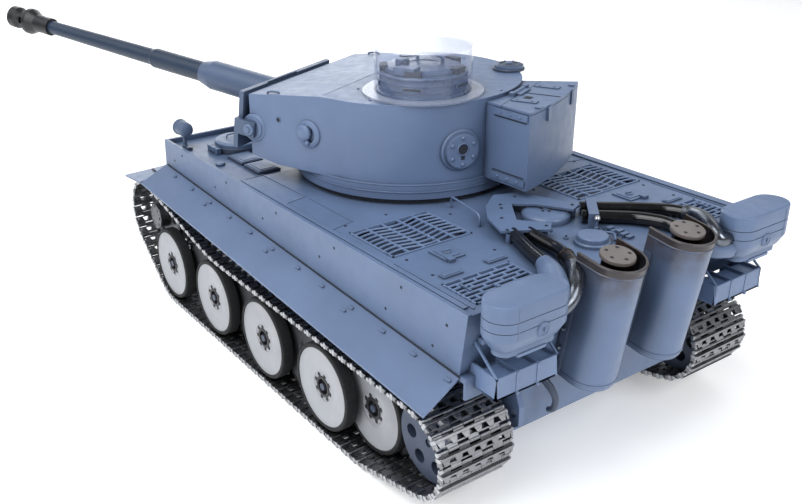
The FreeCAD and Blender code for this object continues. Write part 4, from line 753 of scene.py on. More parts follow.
def weld_seam(seam, points, width=0.8, height=0.28):
    """A raised weld bead along straight runs on the deck."""
    for (x1, y1), (x2, y2) in zip(points, points[1:]):
        length = math.hypot(x2 - x1, y2 - y1)
        steps = max(2, int(length / 1.1))
        for k in range(steps):
            t = (k + 0.5) / steps
            x, y = x1 + (x2 - x1) * t, y1 + (y2 - y1) * t
            reach = length / steps * 0.62
            bead_at = place_at(x, y, DECK, "Z", math.atan2(y2 - y1, x2 - x1))
            outline = [(-reach, -width / 2), (reach * 0.7, -width / 2), (reach, 0), (reach * 0.7, width / 2),
                       (-reach, width / 2)]
            seam.prism(outline, 0, height, 0, bead_at, inset=0.12)


seams = Shape()
for side in (-1, 1):
    for run in ([(206.7, 95.6), (207.3, 79.4), (161.1, 77.8), (157.6, 95.6)],
                [(157.0, 77.7), (115.2, 77.6), (111.0, 95.0)]):
        weld_seam(seams, [(x, side * y) for x, y in run])
seams.make("deck_welds", [deck_paint])

tabs = Shape()
tab_places = [8.0, 32.1, 55.9, 82.4, 109.1, 133.1, 160.5, 186.0, 212.0, 238.0, 264.0, 290.0]
for side in (-1, 1):
    for number, x in enumerate(tab_places):
        for y in ((101.6, 104.4) if number % 3 == 0 and number else (101.6,)):
            shift = 2.6 if y > 102 else 0.0
            forward = (x - 4) / 306
            z = 81.7 + forward * 14.2 - (y - SIDE_Y) * (12.4 - forward * 2.9) / 19.8
            tab_at = Matrix.Translation((x + shift, side * y, z)) @ Matrix.Rotation(side * -0.53, 4, "X")
            tabs.block(-1.9, 1.9, -0.75, 0.75, -0.2, 0.5, 0, tab_at)
            tabs.block(-2.4, -1.1, -0.55, 0.55, 0.3, 0.85, 0, tab_at)
shade_lines = Shape()
for side in (-1, 1):
    shade_lines.tube([(4.0, side * 98.2, 81.6), (308.0, side * 98.2, 95.7)], 0.5, 0, 8)
ring_mm = hull_mm(joints["turret_traverse"]["pos_m"])
shade_lines.lathe([(60.0, 0.0), (64.6, 0.0), (64.6, 2.7), (60.0, 2.7)], 0,
                  place_at(ring_mm.x, ring_mm.y, DECK), 96)
shade_lines.make("shadow_gaps", [deep_shadow])
tabs.make("side_panel_clips", [body_paint], bevel=0.15)


def grille_shape(x0, x1, y0, y1, rows, columns, arched):
    """Slats along Y with short staggered webs, inside a thin frame, over a dark sheet that is painted shade for the
    well below.
    """
    part = Shape()
    x0, x1, y0, y1 = x0 + 1.2, x1 - 1.2, y0 + 1.2, y1 - 1.2
    bar = 0.9
    top = DECK + 0.55
    for low, high in ((x0, x0 + bar), (x1 - bar, x1)):
        part.block(low, high, y0, y1, DECK - 1.0, top, 0)
    for low, high in ((y0, y0 + bar), (y1 - bar, y1)):
        part.block(x0, x1, low, high, DECK - 1.0, top, 0)
    step_x = (x1 - x0 - bar) / rows
    step_y = (y1 - y0 - bar) / columns
    for row in range(1, rows):
        x = x0 + bar / 2 + row * step_x
        samples = columns * 8
        path = []
        for k in range(samples + 1):
            y = y0 + (y1 - y0) * k / samples
            wave = 1.5 * math.sin(math.pi * 3 * (y1 - y) / (y1 - y0)) if arched else 0.0
            path.append((x + wave, y, top - 0.5))
        part.tube(path, 0.62 if arched else 0.66, 0, 8)
    for row in range(rows):
        offset = 0.5 if row % 2 and not arched else 0.0
        for column in range(columns + 1):
            y = y0 + bar / 2 + (column + offset) * step_y
            if not y0 < y < y1:
                continue
            x = x0 + bar / 2 + row * step_x
            part.block(x, x + step_x, y - 0.55, y + 0.55, DECK - 0.6, top - 0.1, 0)
    # A dark sheet under the slats: painted shade in the well below the grille.
    part.block(x0, x1, y0, y1, DECK - 3.6, DECK - 3.2, 1)
    return part


grilles = grille_shape(64.5, 104.0, 37.0, 89.0, 9, 5, True)
grilles.merge(grille_shape(5.0, 31.0, 46.0, 89.0, 7, 4, False))
# The bars carry the lighter copy of the blue that stands in for their stronger light.
piece = both_sides(grilles).make("deck_grille_bars", [lit_blue_paint, dark_paint])
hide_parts("deck_grilles")

# ---------------------------------------------------------------- engine deck fittings

fit = Shape()
fit.lathe([(12.6, 0), (12.6, 2.6), (12.2, 3.3), (10.4, 4.3), (9.6, 4.5), (0, 4.6)], 0,
          place_at(58.3, -5.6, DECK), 64)
for x, y in around(5, 2.7, 0.4):
    fit.bolt((58.3 + x, -5.6 + y, DECK + 4.5), (0, 0, 1), 0.75, 0.6, 2)
fit.block(56.0, 60.6, -6.0, -5.2, DECK + 4.5, DECK + 5.0, 0)
fit.lathe([(8.9, 0), (8.9, 1.4), (8.5, 1.9), (7.6, 2.0), (7.6, 4.0), (7.2, 4.4), (0, 4.5)], 0,
          place_at(22.0, -0.5, DECK), 56)
PLATE_Z = DECK + 5.2
plate_outline = [(81, -9), (87, 5), (77, 19.5), (65, 29), (48, 35.5), (35.3, 14.5), (41, 8.5), (54, 19.5),
                 (72, 6), (64, -3.5), (47, -13.5), (50, -21)]
fit.prism(plate_outline, PLATE_Z, PLATE_Z + 1.4, 0)
fit.block(36.6, 48.6, 11.5, 13.0, PLATE_Z - 1.4, PLATE_Z - 0.2, 0)
for x, y in ((46, 32.0), (40.6, 12.8), (51, -17.5)):
    fit.lathe([(1.5, 0), (1.5, 5.2)], 0, place_at(x, y, DECK), 20)
for x, y in ((47, 32.4), (39.6, 13.4), (51.5, -17.2), (60, 24), (70, 15), (78, -2), (74, 12)):
    fit.bolt((x, y, PLATE_Z + 1.4), (0, 0, 1), 0.8, 0.45, 2)
staple_at = place_at(40.7, -20.0, DECK, "Z", math.radians(-43))
fit.block(-11.3, 11.3, -2.5, 2.5, 7.8, 9.0, 0, staple_at)
for x0 in (-11.3, 10.0):
    fit.block(x0, x0 + 1.3, -2.5, 2.5, 0, 7.8, 0, staple_at)
    fit.block(x0 - 1.2, x0 + 2.5, -3.2, 3.2, 0, 0.7, 0, staple_at)
for side in (-1, 1):
    low, high = across(side, 58.6, 70.4)
    fit.block(47.4, 60.6, low, high, DECK, DECK + 0.8, 0)
    low, high = across(side, 60.2, 68.8)
    fit.block(49.2, 58.8, low, high, DECK + 0.8, DECK + 1.15, 0)
    fit.bolt((54, side * 64.5, DECK + 1.15), (0, 0, 1), 2.1, 0.7, 0, sides=14)
    fit.block(53.3, 54.7, *across(side, 62.9, 66.1), DECK + 1.8, DECK + 2.5, 0)
    fit.block(45.0, 48.4, *across(side, 66.5, 69.9), DECK, DECK + 1.8, 0)
    for y in (50.4, 77.4):
        low, high = across(side, y - 5.8, y + 5.8)
        fit.block(33.4, 37.4, low, high, DECK, DECK + 0.9, 0)
        fit.block(34.3, 36.6, low + 0.8, high - 0.8, DECK + 0.9, DECK + 1.2, 0)
    for x, y in ((20.0, 82.0), (12.0, 70.0)):
        fit.block(x - 3.5, x + 3.5, *across(side, y - 0.5, y + 0.5), DECK + 0.5, DECK + 1.4, 0)
        fit.bolt((x, side * y, DECK + 1.2), (0, 0, 1), 1.0, 0.8, 0)
for x, y, tall in ((30.0, -12.0, 7.0), (26.5, -14.5, 3.0), (22.0, -17.0, 2.2), (17.0, -14.0, 2.8),
                   (33.0, 6.0, 1.8)):
    fit.lathe([(1.1, 0), (1.1, tall * 0.4), (0.6, tall * 0.45), (0.6, tall)], 0, place_at(x, y, DECK), 14)
fit.lathe([(0.7, 6.0), (1.5, 6.6), (1.7, 7.6), (1.2, 8.6), (0, 8.9)], 1, place_at(30.0, -12.0, DECK), 16)
for k in range(5):
    fit.block(14.0 + 3.1 * k, 16.4 + 3.1 * k, -21.5, -17.5 + 0.5 * (k % 2),
              DECK, DECK + 1.3 + 0.5 * (k % 3), 0)
lead = [(16, -10, DECK + 1), (20, -13, DECK + 2.4), (26, -12, DECK + 1.6), (32, -16, DECK + 1)]
fit.tube(smooth_path(lead), 0.7, 0, 10)
handle = [(99, 24, DECK), (99, 24, DECK + 3.6), (98.2, 24.2, DECK + 5.8), (96, 24.8, DECK + 6.5),
          (84, 27, DECK + 6.6), (74, 28.9, DECK + 6.5), (71.2, 29.4, DECK + 5.8), (70, 29.6, DECK + 3.6),
          (70, 29.6, DECK)]
fit.tube(smooth_path(handle, 5), 0.62, 0, 12)
piece = fit.make("engine_deck_details", [deck_paint, bright_metal, deep_shadow], bevel=0.22)
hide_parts("engine_deck_fittings")

# ---------------------------------------------------------------- hoses and ducts

HOSE_Z = DECK + 3.5


def run_of(points, steps=8):
    """A smooth run through points whose heights count from the lying hose's middle."""
    return smooth_path([(x, y, HOSE_Z + up) for x, y, up in points], steps)


def band(shape, path, index, radius, look):
    """A clamp ring round a path near one of its points."""
    here, ahead = path[index], path[min(index + 2, len(path) - 1)]
    along = (ahead - here).normalized()
    shape.tube([here - along * 0.9, here - along * 0.88, here + along * 0.88, here + along * 0.9],
               [radius - 0.5, radius, radius, radius - 0.5], look, 24)


ducts = Shape()
left_inner = run_of([(43.5, 21, 0), (31, 23, 0), (20, 25, 0.3), (9, 30.5, 1.4), (-2, 38, 2),
                     (-9.5, 45.5, -0.5), (-12.5, 52, -5), (-12.4, 59.5, -8)])
looks = [0 if k < 22 else 1 if k < 29 else 2 for k in range(len(left_inner) - 1)]
ducts.tube(left_inner, [3.3 if k < 22 else 3.7 for k in range(len(left_inner))], 0, 24, looks=looks)
band(ducts, left_inner, 22, 4.0, 1)
left_outer = run_of([(47.5, 28, 0), (37, 32, 0), (27, 36, 0), (15.5, 40, 0.3), (9.0, 43.5, 0.6)])
ducts.tube(left_outer, 3.3, 0, 24)
left_cone = run_of([(13, 41.4, 0.5), (9.0, 43.6, 0.6), (2.0, 48.0, 0.6), (-6.5, 54.0, -0.2),
                    (-12.0, 60, -1.5)], 4)
ducts.tube(left_cone, [3.7 + min(1.0, k / 8) * 2.3 for k in range(len(left_cone))], 3, 28)
band(ducts, left_cone, 1, 4.2, 3)
right_inner = run_of([(43, -15.5, 0), (35, -25, 0), (25.5, -35, 0), (15, -40.5, 0.2), (9, -42, 0.0),
                      (4, -43, -0.5)])
ducts.tube(right_inner, 3.3, 0, 24)
right_cone = run_of([(7, -42.4, -0.4), (2, -43.8, -1.6), (-5, -46.5, -5.0), (-10, -51.0, -8.0),
                     (-12.4, -60, -9.5)], 4)
ducts.tube(right_cone, [3.7 + min(1.0, k / 8) * 1.6 for k in range(len(right_cone))], 3, 28)
right_outer = run_of([(52, -23.5, 0), (43, -34, 0), (33, -46.5, 0), (23, -56.5, 0), (12.5, -60.5, 0.5)])
ducts.tube(right_outer, 3.3, 0, 24)
right_elbow = run_of([(15, -60.2, 0.3), (10.0, -60.4, 0.9), (2, -57.5, 2), (-7, -52.5, 1),
                      (-12.6, -50.8, -2.5), (-12.4, -59.5, -4.5)])
ducts.tube(right_elbow, 3.7, 2, 24)
band(ducts, right_elbow, 2, 4.1, 2)
piece = ducts.make("air_ducts", [hose_black, hot_metal, pipe_metal, deck_paint], "hull", "hose_rubber")
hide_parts("filter_hoses")

# ---------------------------------------------------------------- air filters


def stadium(half, radius, count=14):
    """A slot-shaped outline with its long side along Y, counter-clockwise."""
    upper = [(x, y + half) for x, y in arc_points(0, 0, radius, 0, 180, count)]
    lower = [(x, y - half) for x, y in arc_points(0, 0, radius, 180, 360, count)]
    return upper + lower


def loft(shape, sections, look=0, at=None):
    """Joins outlines with equal point counts, given as (outline, z), and caps both ends."""
    count = len(sections[0][0])
    points = [(x, y, z) for outline, z in sections for x, y in outline]
    sides = []
    for layer in range(len(sections) - 1):
        for i in range(count):
            j = (i + 1) % count
            near, far = layer * count, (layer + 1) * count
            sides.append((near + i, near + j, far + j, far + i))
    shape.add(points, sides, look, True, at)
    first = [(x, y, sections[0][1]) for x, y in sections[0][0]]
    last = [(x, y, sections[-1][1]) for x, y in sections[-1][0]]
    shape.add(first, [range(count)[::-1]], look, False, at)
    shape.add(last, [range(count)], look, False, at)


FILTER_X, FILTER_Y, FILTER_HALF, FILTER_R, FILTER_TOP = -12.4, 78.0, 12.0, 9.2, 124.5


def filter_shape():
    """The canister: rounded lid, two seams, a tapered shoulder and a narrow foot."""
    can = Shape()
    steps = [(-4.0, 99.0), (-4.0, 101.6), (-2.6, 103.0), (-0.3, 107.6), (0.0, 108.4), (0.0, 112.0),
             (-0.28, 112.05), (-0.28, 112.35), (0.0, 112.4), (0.0, 116.6), (-0.28, 116.65), (-0.28, 116.95),
             (0.0, 117.0), (0.0, 123.6), (-0.12, 124.05), (-0.4, 124.35), (-0.85, 124.5)]
    loft(can, [(stadium(FILTER_HALF + inset * 0.25, FILTER_R + inset), z) for inset, z in steps], 0,
         Matrix.Translation((FILTER_X, FILTER_Y, 0)))
    cap_at = place_at(FILTER_X - FILTER_R + 1.2, FILTER_Y - 2.0, 109.6, "-X")
    can.lathe([(3.5, -1.0), (3.5, 1.4), (3.1, 1.9), (2.5, 2.0), (2.3, 1.75), (0, 1.7)], 0, cap_at, 36)
    can.block(-0.9, 0.9, -0.3, 0.3, 1.6, 2.2, 0, cap_at)
    can.bolt((FILTER_X - 4, FILTER_Y - 17, 104.0), (0, 0, 1), 0.9, 0.9, 0)
    rear, end = FILTER_X - FILTER_R, FILTER_Y + FILTER_HALF
    can.block(rear - 0.12, rear + 0.3, end - 0.2, end + 0.2, 108.6, 122.8, 0)
    can.block(FILTER_X - 8.0, FILTER_X + 8.0, FILTER_Y - FILTER_HALF - 4.2, FILTER_Y - FILTER_HALF - 3.9,
              FILTER_TOP - 0.1, FILTER_TOP + 0.06, 0)
    return can


piece = both_sides(filter_shape()).make("air_filter_cans", [body_paint])
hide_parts("air_filters")

# ---------------------------------------------------------------- exhausts

MUFFLER_Y = 23.9
TAIL_SLOPE = math.radians(8.0)
SHIELD_R = 13.0
muffler_bottom = Vector((-3.2, MUFFLER_Y, 59.1))
muffler_top = Vector((-13.4, MUFFLER_Y, 126.7))
muffler_axis = (muffler_top - muffler_bottom).normalized()
muffler_length = (muffler_top - muffler_bottom).length
towards_hull = Vector((0, 1, 0)).cross(muffler_axis)
muffler_turn = Matrix((towards_hull, Vector((0, 1, 0)), muffler_axis)).transposed().to_4x4()
MUFFLER = Matrix.Translation(muffler_bottom) @ muffler_turn   # local X to the hull, Y left, Z up the axis


def shield_shape():
    """A U-shaped sheet round the muffler, open to the hull, with a rolled rim and a rounded base."""
    shield = Shape()
    reach = 11.2

    def outline(radius):
        return [(reach, radius), *arc_points(0, 0, radius, 90, 270, 30), (reach, -radius)]

    top = muffler_length * 0.975
    levels = [(0.6, 12.2), (1.2, 12.8), (2.2, SHIELD_R), (2.9, SHIELD_R), (3.0, SHIELD_R + 0.25),
              (3.8, SHIELD_R + 0.25), (3.9, SHIELD_R), (top - 4.6, SHIELD_R), (top - 4.5, SHIELD_R + 0.2),
              (top - 4.1, SHIELD_R + 0.45), (top - 3.7, SHIELD_R + 0.1), (top - 1.2, SHIELD_R + 0.1),
              (top - 1.0, SHIELD_R + 0.5), (top - 0.3, SHIELD_R + 0.6), (top, SHIELD_R + 0.3),
              (top, SHIELD_R - 0.75), (top - 0.4, SHIELD_R - 0.9), (8.0, SHIELD_R - 0.9)]
    rings = [[(x, y, z) for x, y in outline(radius)] for z, radius in levels]
    count = len(rings[0])
    for number, (low, high) in enumerate(zip(rings, rings[1:])):
        faces = [(i, count + i, count + i + 1, i + 1) for i in range(count - 1)]
        look = 0 if number < 10 else 1 if number < 15 else 2
        shield.add(low + high, faces, look, True)
    shield.prism(outline(12.2), 0.0, 0.6, 0)
    shield.prism(outline(10.8), -0.6, 0.0, 0)
    for side in (-1, 1):
        low, high = across(side, SHIELD_R, SHIELD_R + 1.0)
        shield.block(reach - 5.0, reach - 1.0, low, high, 3.0, top - 12, 0)
        for k in range(5):
            shield.bolt((reach - 3.0, side * (SHIELD_R + 1.0), 6.0 + k * 10.5), (0, side, 0), 1.1, 0.9, 0)
            shield.bolt((reach - 3.0, side * (SHIELD_R + 1.9), 6.0 + k * 10.5), (0, side, 0), 0.6, 0.6, 3)
    return shield


def muffler_shape():
    """The dark muffler inside its shield, up to the neck under the cap."""
    body = Shape()
    body.lathe([(8.8, 2.0), (8.8, 55.0), (8.2, 58.0), (6.4, 60.0), (6.4, 64.6)], 0, None, 40)
    for x, y in around(12, 7.4):
        body.bolt((x, y, 57.6), (0, 0, 1), 0.6, 1.0, 0)
    return body


def cap_shape():
    """The drilled disc over the muffler on its short studs."""
    cap = Shape()
    z0 = muffler_length - 2.2
    hole_r = 0.72
    cap.lathe([(7.4, z0 - 0.3), (8.0, z0), (8.0, z0 + 1.5), (7.7, z0 + 1.9), (7.2, z0 + 2.05), (0, z0 + 2.1)],
              0, None, 48)
    cap.lathe([(0, z0 - 0.25), (7.2, z0 - 0.2)], 0, None, 48)
    for x, y in around(5, 5.3, 0.5):
        cap.lathe([(hole_r + 0.16, 0.05), (hole_r, 0.02), (0, 0.0)], 1, place_at(x, y, z0 + 2.09), 14)
    for x, y in around(5, 6.0, 1.1):
        cap.lathe([(0.8, z0 - 4.6), (0.8, z0 - 0.1)], 2, place_at(x, y, 0), 12)
    return cap


exhausts, silencers, caps = Shape(), Shape(), Shape()
for side in (MUFFLER, MIRROR @ MUFFLER):
    exhausts.merge(shield_shape(), side)
    silencers.merge(muffler_shape(), side)
    caps.merge(cap_shape(), side)
piece = exhausts.make("exhaust_shields", [shield_paint, rim_brown, hot_metal, bright_metal])
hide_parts("muffler_shields")
piece = silencers.make("silencers", [hot_metal], "hull", "exhaust_paint")
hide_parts("mufflers")
piece = caps.make("silencer_caps", [cap_taupe, deep_shadow, hot_metal], "hull", "exhaust_paint")
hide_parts("muffler_caps")

# ---------------------------------------------------------------- tail


def tail_x(z):
    """Where the sloped tail plate is at a height."""
    return (RIM - z) * math.tan(TAIL_SLOPE)


def tail_box_shape():
    """The three-bay box under the filter, with its end gusset, straps and the filter's shelf."""
    box = Shape()
    y0, y1 = 55.5, 92.0
    back = -12.5
    wall = 1.1
    upright = Matrix(((0, 1, 0, 0), (0, 0, 1, 0), (1, 0, 0, 0), (0, 0, 0, 1)))   # outlines as (z, x)
    end_plate = [(76.4, tail_x(76.4)), (87.0, tail_x(87.0)), (86.4, back), (75.4, back)]
    for y in (y0, y1 - wall):
        box.prism(end_plate, y, y + wall, 0, upright)
    box.block(back, back + wall, y0, y1, 75.4, 86.4, 0)
    box.block(back, tail_x(76), y0, y1, 75.4, 76.4, 0)
    third = (y1 - y0) / 3
    for k in (1, 2):
        y = y0 + third * k
        box.block(back + 0.4, 1.0, y - 0.5, y + 0.5, 76.0, 86.6, 0)
        box.block(back - 0.35, back, y - 0.8, y + 0.8, 75.6, 86.0, 0)
        box.block(back - 0.9, back, y - 0.6, y + 0.6, 75.0, 76.2, 0)
    for k in range(3):
        box.block(back + 1.5, -1.0, y0 + third * k + 1.2, y0 + third * (k + 1) - 1.2, 84.2, 85.0, 0)
    gusset = [(back, 86.4), (back, 85.2), (3.0, 97.4), (3.0, 98.8)]
    for y in (y1 - 0.9, y0):
        box.slab(*[[(x, face_y, z) for x, z in gusset] for face_y in (y, y + 0.9)])
    box.block(-18.0, 2.4, 70.0, 86.0, 97.6, 99.0, 0)
    box.block(-1.0, 3.6, 60.0, 90.0, 97.0, 99.4, 0)
    for y in (63.0, 66.0, 88.0):
        box.bolt((-1.0, y, 98.2), (-1, 0, 0), 0.8, 0.6, 0)
    return box


# The tail boxes carry the lighter copy of the blue that stands in for their stronger light.
piece = both_sides(tail_box_shape()).make("tail_box_details", [lit_blue_paint], bevel=0.18)
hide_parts("tail_boxes")

plate = Shape()
for y, radius, height, levels in ((48.0, 1.0, 0.9, (104.0, 94.0, 84.0, 74.0, 64.0)),
                                  (57.0, 0.7, 0.5, (70.0, 58.0, 46.0))):
    for z in levels:
        plate.bolt((tail_x(z) - 0.1, y, z), (-1, 0, 0.14), radius, height, 0)
strip = [(tail_x(106) - 1.2, 106), (tail_x(106), 106), (tail_x(62), 62), (tail_x(62) - 1.2, 62)]
plate.slab(*[[(x, y, z) for x, z in strip] for y in (45.6, 47.0)])
hook = smooth_path([(4.5, 44.5, 60.0), (0.8, 43.5, 56.5), (-1.0, 42.0, 51.0), (0.6, 41.5, 45.0),
                    (4.0, 41.0, 42.5)], 6)
plate.tube(hook, [1.9 - 0.02 * k for k in range(len(hook))], 1, 14)
plate.block(-0.6, 6.0, 84.5, 85.9, 70.0, 82.0, 0)
plate.block(1.0, 5.0, 86.5, 97.8, 79.2, 82.0, 0)
plate.block(0.5, 1.9, 88.0, 97.6, 71.0, 81.8, 0)
both_sides(plate).make("tail_plate_details", [body_paint, dark_paint], bevel=0.2)

# ---------------------------------------------------------------- front and roof


def lamp_shape():
    """The headlamp: a drum with a domed back and a glass face, on a post with a clip foot."""
    head = Shape()
    x, y, z = 291.0, 91.6, ROOF
    axis_at = place_at(x - 7.6, y, z + 14.0, "X")
    head.lathe([(0, 1.2), (3.0, 1.4), (4.3, 2.2), (4.8, 3.8), (4.9, 6.0), (4.9, 12.0), (5.3, 12.2),
                (5.3, 13.4), (4.9, 13.8)], 0, axis_at, 40)
    head.lathe([(4.9, 13.6), (4.0, 14.0), (0, 14.4)], 1, axis_at, 40)
    head.lathe([(2.0, 0), (2.0, 1.0), (1.3, 1.6), (1.3, 9.0)], 0, place_at(x, y, z + 1.6), 20)
    head.block(x - 4.2, x + 4.2, y - 3.4, y + 3.4, z, z + 1.6, 0)
    head.block(x - 6.2, x - 3.0, y - 1.0, y + 1.0, z, z + 2.6, 0)
    head.bolt((x + 2.8, y - 2.0, z + 1.6), (0, 0, 1), 0.8, 0.6, 0)
    return head


piece = both_sides(lamp_shape()).make("headlamp_bodies", [mantlet_paint, clear], bevel=0.2)
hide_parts("headlights")


def hatch_shape():
    """The left hatch's raised lid: dark rim, stepped edge, periscope guard and grip."""
    lid = Shape()
    x, y = 272.0, 62.0
    top = ROOF + 4.0
    lid.lathe([(15.3, -3.9), (15.8, -3.6), (15.8, -0.6), (15.3, -0.3)], 1, place_at(x, y, top), 64)
    top += 2.6
    lid.lathe([(15.2, -2.8), (15.4, -0.8), (14.9, -0.1), (13.8, 0.05), (13.6, 0.3), (12.6, 0.35), (0, 0.5)],
              0, place_at(x, y, top), 64)
    lid.block(x - 2.2, x + 2.8, y - 9.0, y - 4.0, top + 0.3, top + 1.6, 0)
    lid.bolt((x - 6.0, y + 4.0, top + 0.4), (0, 0, 1), 1.6, 0.9, 0, sides=12)
    grip = [(x + 4, y - 1, top), (x + 4, y - 0.6, top + 2), (x + 4, y + 5.6, top + 2), (x + 4, y + 6, top)]
    lid.tube(smooth_path(grip, 4), 0.5, 0, 10)
    return lid


for side, name in ((None, "driver_hatch"), (MIRROR, "radio_hatch")):
    lid = Shape()
    lid.merge(hatch_shape(), side)
    lid.make(name + "_top", [body_paint, dark_paint], name, bevel=0.18)

roof = Shape()
for x0, x1 in ((237.0, 256.0), (215.0, 234.0)):
    roof.block(x0 - 0.25, x1 + 0.25, 62.75, 78.25, ROOF + 0.05, ROOF + 1.5, 1)
    roof.block(x0 + 0.8, x1 - 0.8, 63.8, 77.2, ROOF + 1.8, ROOF + 2.2, 0)
    roof.block(x0 + 2.5, x1 - 2.5, 65.5, 75.5, ROOF + 2.2, ROOF + 2.45, 0)
roof.lathe([(3.0, 0), (3.0, 1.0), (2.4, 1.6), (0, 1.8)], 0, place_at(247, 88, ROOF), 24)
both_sides(roof).make("roof_cover_steps", [body_paint, dark_paint], bevel=0.15)

flap = Shape()
for y in (72.0, 84.0, 96.0, 108.0):
    place = Matrix.Translation((314.5, y, 92.3 - (y - 62) * 0.127)) @ Matrix.Rotation(0.13, 4, "Y")
    flap.block(-1.6, 1.6, -2.2, 2.2, 0.0, 0.9, 0, place)
    flap.tube([place @ Vector((-1.6, -2.4, 0.9)), place @ Vector((-1.6, 2.4, 0.9))], 0.7, 0, 12)
flap.block(322.0, 332.0, 100.0, 101.6, 86.4, 86.9, 1)
both_sides(flap).make("front_flap_hinges", [body_paint, deep_shadow], bevel=0.12)

# ---------------------------------------------------------------- turret

WALL_R = 66.0       # the turret wall's radius behind the ring's axis
TURRET_TOP = 168.0  # the turret roof behind the axis


def port_shape():
    """Face of a pistol port: ring, six bolts and a keyhole."""
    port = Shape()
    port.lathe([(11.6, -1.3), (11.6, 0.2), (11.2, 0.7), (10.4, 0.9), (9.7, 0.9)], 0, None, 56)
    port.lathe([(9.7, 0.9), (9.5, 2.2), (9.1, 2.75), (0, 2.8)], 0, None, 56)
    for x, y in around(6, 7.3, math.radians(30)):
        port.bolt((x, y, 2.75), (0, 0, 1), 1.15, 0.7, 0, domed=True)
    key_at = Matrix.Translation((0, 1.2, 0))
    port.lathe([(0, 2.84), (2.9, 2.82)], 1, key_at, 20)
    port.block(-1.1, 1.1, -4.6, 0.6, 2.8, 2.85, 1)
    port.lathe([(3.7, 2.8), (3.5, 3.15), (3.0, 3.2), (2.9, 2.9)], 0, key_at, 24)
    return port


def facing(across_wall, out):
    """A turn whose Z points out of an upright wall and whose Y points up."""
    return Matrix((across_wall, Vector((0, 0, 1)), out)).transposed().to_4x4()


def on_wall(side, x, z):
    """A place on the turret's sloping side wall, with Z pointing out of it."""
    slope = math.atan2(WALL_R - 59.2, 72.4)
    out = Vector((math.sin(slope), side * math.cos(slope), 0))
    y = side * (WALL_R - x * math.tan(slope))
    return Matrix.Translation((x, y, z)) @ facing(Vector((out.y, -out.x, 0)), out)


turret = Shape()
for side in (-1, 1):
    angle = math.radians(143.4) * side
    out = Vector((math.cos(angle), math.sin(angle), 0))
    port_at = Matrix.Translation(out * WALL_R + Vector((0, 0, 141.6)))
    turret.merge(port_shape(), port_at @ facing(Vector((-out.y, out.x, 0)), out))
for side in (-1, 1):
    turret.lathe([(8.2, -0.4), (8.0, 0.5), (7.2, 1.1), (5.0, 1.5)], 0, on_wall(side, 28.6, 145.6), 40)
    turret.lathe([(4.8, 0.8), (4.6, 2.4), (3.8, 3.2), (2.2, 3.5), (0, 3.6)], 0,
                 on_wall(side, 30.8, 146.4), 36)
    turret.lathe([(1.5, 1.0), (1.4, 2.4), (0.9, 2.8), (0, 2.9)], 0, on_wall(side, 28.6, 141.0), 20)
    turret.lathe([(0, 0.05), (1.3, 0.03)], 1, on_wall(side, 50.6, 150.4), 20)
    turret.lathe([(1.8, 0.0), (1.7, 0.25), (1.35, 0.3), (1.3, 0.05)], 0, on_wall(side, 50.6, 150.4), 20)
    turret.lathe([(8.6, -0.8), (8.4, 0.3), (7.6, 1.0), (6.4, 1.3), (6.2, 1.9), (5.6, 2.2), (2.2, 2.2)], 0,
                 place_at(69.2, side * 59.6, trunnion.z, "Y" if side > 0 else "-Y"), 44)
    for x, z in ((58.0, 161.2), (52.0, 161.9)):
        turret.bolt((x, side * 54.0, z), (0.1, 0, 1), 0.9, 0.5, 0)
    eye = [(56.0 + x, side * 57.4, 164.4 + z) for x, z in ((-4, -1.2), (-3.4, 0.9), (3.4, 0.5), (4, -1.4))]
    turret.tube(smooth_path(eye, 4), 0.6, 0, 10)
turret.lathe([(66.9, 119.4), (67.15, 119.5), (67.15, 120.2), (66.9, 120.3)], 0, None, 128)
turret.lathe([(66.2, 123.3), (66.9, 123.4), (66.9, 124.1), (66.1, 124.4)], 0, None, 128)

vent_at = place_at(-46.5, -40.0, TURRET_TOP)
turret.lathe([(9.4, 0), (9.4, 1.0), (9.0, 1.5), (8.2, 1.6), (8.2, 2.6), (7.9, 3.2), (7.2, 3.5), (5.4, 3.6),
              (5.2, 3.1), (3.4, 3.1), (3.2, 3.6), (0, 3.8)], 2, vent_at, 48)
for x, y in around(8, 6.3):
    turret.bolt((x, y, 3.4), (0, 0, 1), 0.7, 0.5, 0, vent_at)
turret.bolt((0, 0, 3.7), (0, 0, 1), 2.2, 0.7, 0, vent_at, sides=12)
for x, y in ((10, 40), (10, -52), (-62, 8), (-8, 58), (0, 0), (-10, -56)):
    turret.bolt((x, y, TURRET_TOP), (0, 0, 1), 0.8, 0.4, 0, sides=10)
turret.block(20.0, 21.2, -60, 60, 167.95, 168.1, 0)
turret.make("turret_details", [body_paint, deep_shadow, dark_paint], "turret", at=TURRET)

BIN_SLOPE = math.atan2(37.0 - 24.0, 32.0)   # how far the bin's sides turn outward to the rear


def on_bin(side, distance, z, lift=0.0):
    """A point on the bin's side, at a distance from its front corner and a lift off the sheet."""
    along = Vector((-math.cos(BIN_SLOPE), side * math.sin(BIN_SLOPE), 0))
    out = Vector((math.sin(BIN_SLOPE), side * math.cos(BIN_SLOPE), 0))
    return Vector((-58.0, side * 24.0, z)) + along * distance + out * lift


